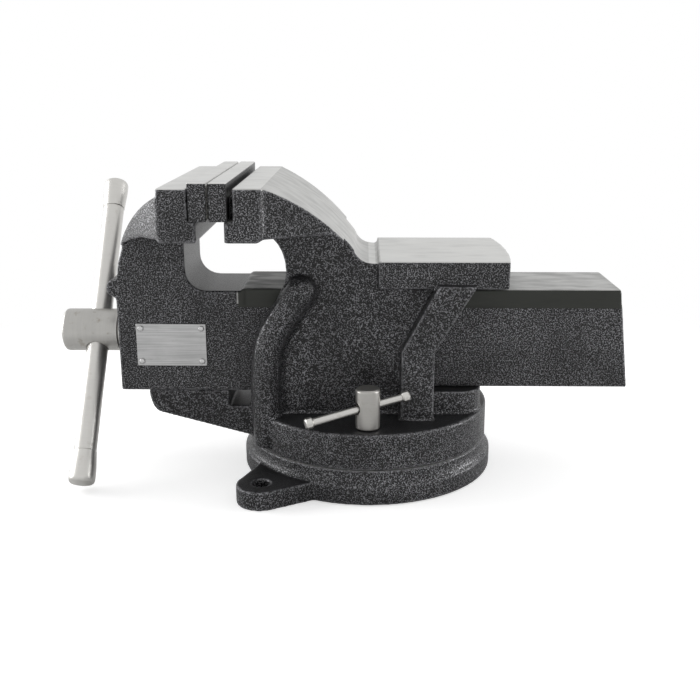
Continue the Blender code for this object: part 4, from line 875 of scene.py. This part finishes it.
class VISE_OT_clamps(Operator):
    """Make the two clamp nuts and their bars"""
    bl_idname = "vise.clamps"
    bl_label = "Swivel clamps"

    def execute(self, context):
        sizes, metal = context.scene.vise_handle, context.scene.vise_metal
        for side in ("near", "far"):
            pivot = Vector(JOINTS[f"lock_turn_{side}"]["pos_m"])
            axis = Vector(JOINTS[f"lock_bar_slide_{side}"]["axis"]).normalized()
            low, high = rest_box(f"lock_nut_{side}")
            foot, height, rim = Vector((pivot.x, pivot.y, low.z)), high.z - low.z, (high.x - low.x) / 2
            bore, depth = 5.3 * MM, 8.3 * MM
            profile = [(depth, 0), (depth, bore), (0.5 * MM, bore), (0, bore + 0.5 * MM)]
            outside = [(0, rim - 0.6 * MM), (0.6 * MM, rim), (height - 1.3 * MM, rim),
                       (height, rim - 1.2 * MM), (height, 0)]
            profile += softened(outside, 0.6 * MM)
            nut = turned(f"lock_nut_{side}", profile, foot, Z_AXIS, 64)
            flat = Vector((axis.x, axis.y, 0)).normalized()
            reach = flat * (rim + 3 * MM)
            nut = drilled(nut, drill(pivot - reach, pivot + reach, 4.2 * MM, 1.5 * MM, 48))
            steel = bar_metal(f"{side} clamp steel", tuple(metal.forged), foot, Z_AXIS, 0.34, 0.16)
            show(f"clamp_nut_{side}", nut, steel, f"lock_nut_body_{side}", [f"lock_nut_{side}"])
            bar_steel = bar_metal(f"{side} clamp bar steel", tuple(metal.steel), pivot, axis, 0.30, 0.14)
            long_end, short_end, knob, bar, end_rim = 40 * MM, 27 * MM, 5 * MM, 2.4 * MM, 3.5 * MM
            length = long_end + short_end - 2 * knob
            rod = softened([(0, 0), (0, bar), (length, bar), (length, 0)], 0.3 * MM)
            show(f"clamp_bar_{side}", turned("clamp_bar", rod, pivot - axis * (long_end - knob), axis, 40), bar_steel,
                 f"lock_bar_body_{side}", [f"lock_{side}_bar"])
            eight = flats(sizes.facets, 0.7)
            for end, way, span in (("upper", 1, short_end), ("lower", -1, long_end)):
                shape = [(0, 0), (0, end_rim - 0.9 * MM), (0.9 * MM, end_rim), (knob - 0.7 * MM, end_rim),
                         (knob, end_rim - 0.8 * MM), (knob, 0)]
                mesh = turned("clamp_knob", shape, pivot + axis * way * (span - knob), axis * way, sizes.facets * 6,
                              [None, None, eight, eight, None, None], 20)
                show(f"clamp_knob_{side}_{end}", mesh, bar_steel, f"lock_bar_body_{side}",
                     [f"lock_{side}_knob_{end}"])
        return {"FINISHED"}


# Studio

class VISE_OT_studio(Operator):
    """Make the floor, the surround, the lamps and the camera"""
    bl_idname = "vise.studio"
    bl_label = "Studio"

    def execute(self, context):
        scene, studio = context.scene, context.scene.vise_studio
        scene.view_settings.view_transform = "Standard"
        self.surround(scene, studio)
        self.ground(scene, studio)
        aim = Vector((0, 0, 0.09))
        for name, place, power, size in (
            ("key_lamp", (-1.15, 0.19, 0.34), studio.key, 0.8),
            ("fill_lamp", (1.15, 0.10, 0.30), studio.fill, 0.7),
        ):
            lamp = bpy.data.lights.new(name, "AREA")
            lamp.energy, lamp.size = power, size
            stand = bpy.data.objects.new(name, lamp)
            stand.location = place
            stand.rotation_euler = (aim - Vector(place)).to_track_quat("-Z", "Y").to_euler()
            scene.collection.objects.link(stand)
        lens = bpy.data.cameras.new("camera")
        lens.lens, lens.sensor_width, lens.sensor_fit = studio.lens, 36, "HORIZONTAL"
        lens.clip_start, lens.clip_end = 0.01, 20
        camera = bpy.data.objects.new("camera", lens)
        camera.location = studio.stand
        camera.rotation_euler = (math.pi / 2 - studio.pitch, 0, studio.yaw)
        scene.collection.objects.link(camera)
        scene.camera = camera
        return {"FINISHED"}

    def surround(self, scene, studio):
        """A white surround to look at. As a light it is dimmer at the front, and gloss shows a dark card there too."""
        sheet = Sheet("surround", bpy.data.worlds)
        scene.world = sheet.material
        seen = sheet.node("ShaderNodeLightPath", out="Is Camera Ray")
        gloss = sheet.node("ShaderNodeLightPath", out="Is Glossy Ray")
        through = sheet.node("ShaderNodeLightPath", out="Is Transmission Ray")
        x, y = sheet.parts(sheet.node("ShaderNodeTexCoord", out="Generated"))[:2]
        lit = studio.sky * (studio.dim + (1 - studio.dim) * y.ramp(-0.85, 0.25))
        card = (x * 0.88 - y * 0.47).ramp(0.90, 0.975)
        mirrored = 0.9 - 0.76 * card
        level = gloss * mirrored + (1 - gloss) * lit
        whole = at_most_one(seen + through)
        strength = whole + (1 - whole) * level
        light = sheet.node("ShaderNodeBackground", None, {"Color": (1, 1, 1, 1), "Strength": strength})
        sheet.node_output(light, "ShaderNodeOutputWorld")

    def ground(self, scene, studio):
        """A pale floor that keeps the shadow and meets the white surround."""
        made = bmesh.new()
        radius, drop, sides = 3, -0.0002, 64
        turns = [2 * math.pi * i / sides for i in range(sides)]
        made.faces.new([made.verts.new((radius * math.cos(a), radius * math.sin(a), drop)) for a in turns])
        mesh = mesh_from(made, "floor")
        sheet = Sheet("pale floor")
        plain = sheet.node("ShaderNodeBsdfDiffuse", None, {"Color": (*studio.floor, 1)})
        glow = sheet.node("ShaderNodeEmission", None, {"Color": (1, 1, 1, 1), "Strength": 1.0})
        camera = sheet.node("ShaderNodeLightPath", out="Is Camera Ray")
        glossy = sheet.node("ShaderNodeLightPath", out="Is Glossy Ray")
        through = sheet.node("ShaderNodeLightPath", out="Is Transmission Ray")
        seen = at_most_one(camera + glossy + through)
        lifted = sheet.node("ShaderNodeEmission", None, {"Color": (1, 1, 1, 1), "Strength": camera * 0.52})
        lit = sheet.node("ShaderNodeAddShader", None, {0: plain, 1: lifted})
        x, y = sheet.parts(sheet.millimetres())[:2]
        square = x * x + y * y
        far = square._math("SQRT", square).ramp(240.0, 520.0)
        sheet.node_output(sheet.node("ShaderNodeMixShader", None, {0: far * seen, 1: lit, 2: glow}))
        floor = bpy.data.objects.new("floor", mesh)
        mesh.materials.append(sheet.material)
        scene.collection.objects.link(floor)


STEPS = (
    VISE_OT_swivel_base, VISE_OT_fixed_casting, VISE_OT_moving_casting, VISE_OT_jaw_plates, VISE_OT_jaw_screws,
    VISE_OT_name_plate, VISE_OT_spindle, VISE_OT_inner_parts, VISE_OT_handle, VISE_OT_clamps, VISE_OT_studio,
)


class VISE_PT_panel(Panel):
    """The vise's pieces and settings"""
    bl_label = "Swivel bench vise"
    bl_idname = "VISE_PT_panel"
    bl_space_type = "VIEW_3D"
    bl_region_type = "UI"
    bl_category = "Vise"

    def draw(self, context):
        for step in STEPS:
            self.layout.operator(step.bl_idname)
        for name, group in SETTINGS.items():
            box = self.layout.box()
            box.label(text=group.__doc__)
            for key in group.__annotations__:
                box.prop(getattr(context.scene, name), key)


def register():
    for kind in (*SETTINGS.values(), *STEPS, VISE_PT_panel):
        bpy.utils.register_class(kind)
    for name, group in SETTINGS.items():
        setattr(bpy.types.Scene, name, PointerProperty(type=group))


def unregister():
    for name in SETTINGS:
        delattr(bpy.types.Scene, name)
    for kind in reversed((*SETTINGS.values(), *STEPS, VISE_PT_panel)):
        bpy.utils.unregister_class(kind)


def main():
    """Builds the whole scene in order."""
    register()
    for step in STEPS:
        group, name = step.bl_idname.split(".")
        getattr(getattr(bpy.ops, group), name)()


if __name__ == "__main__":
    main()
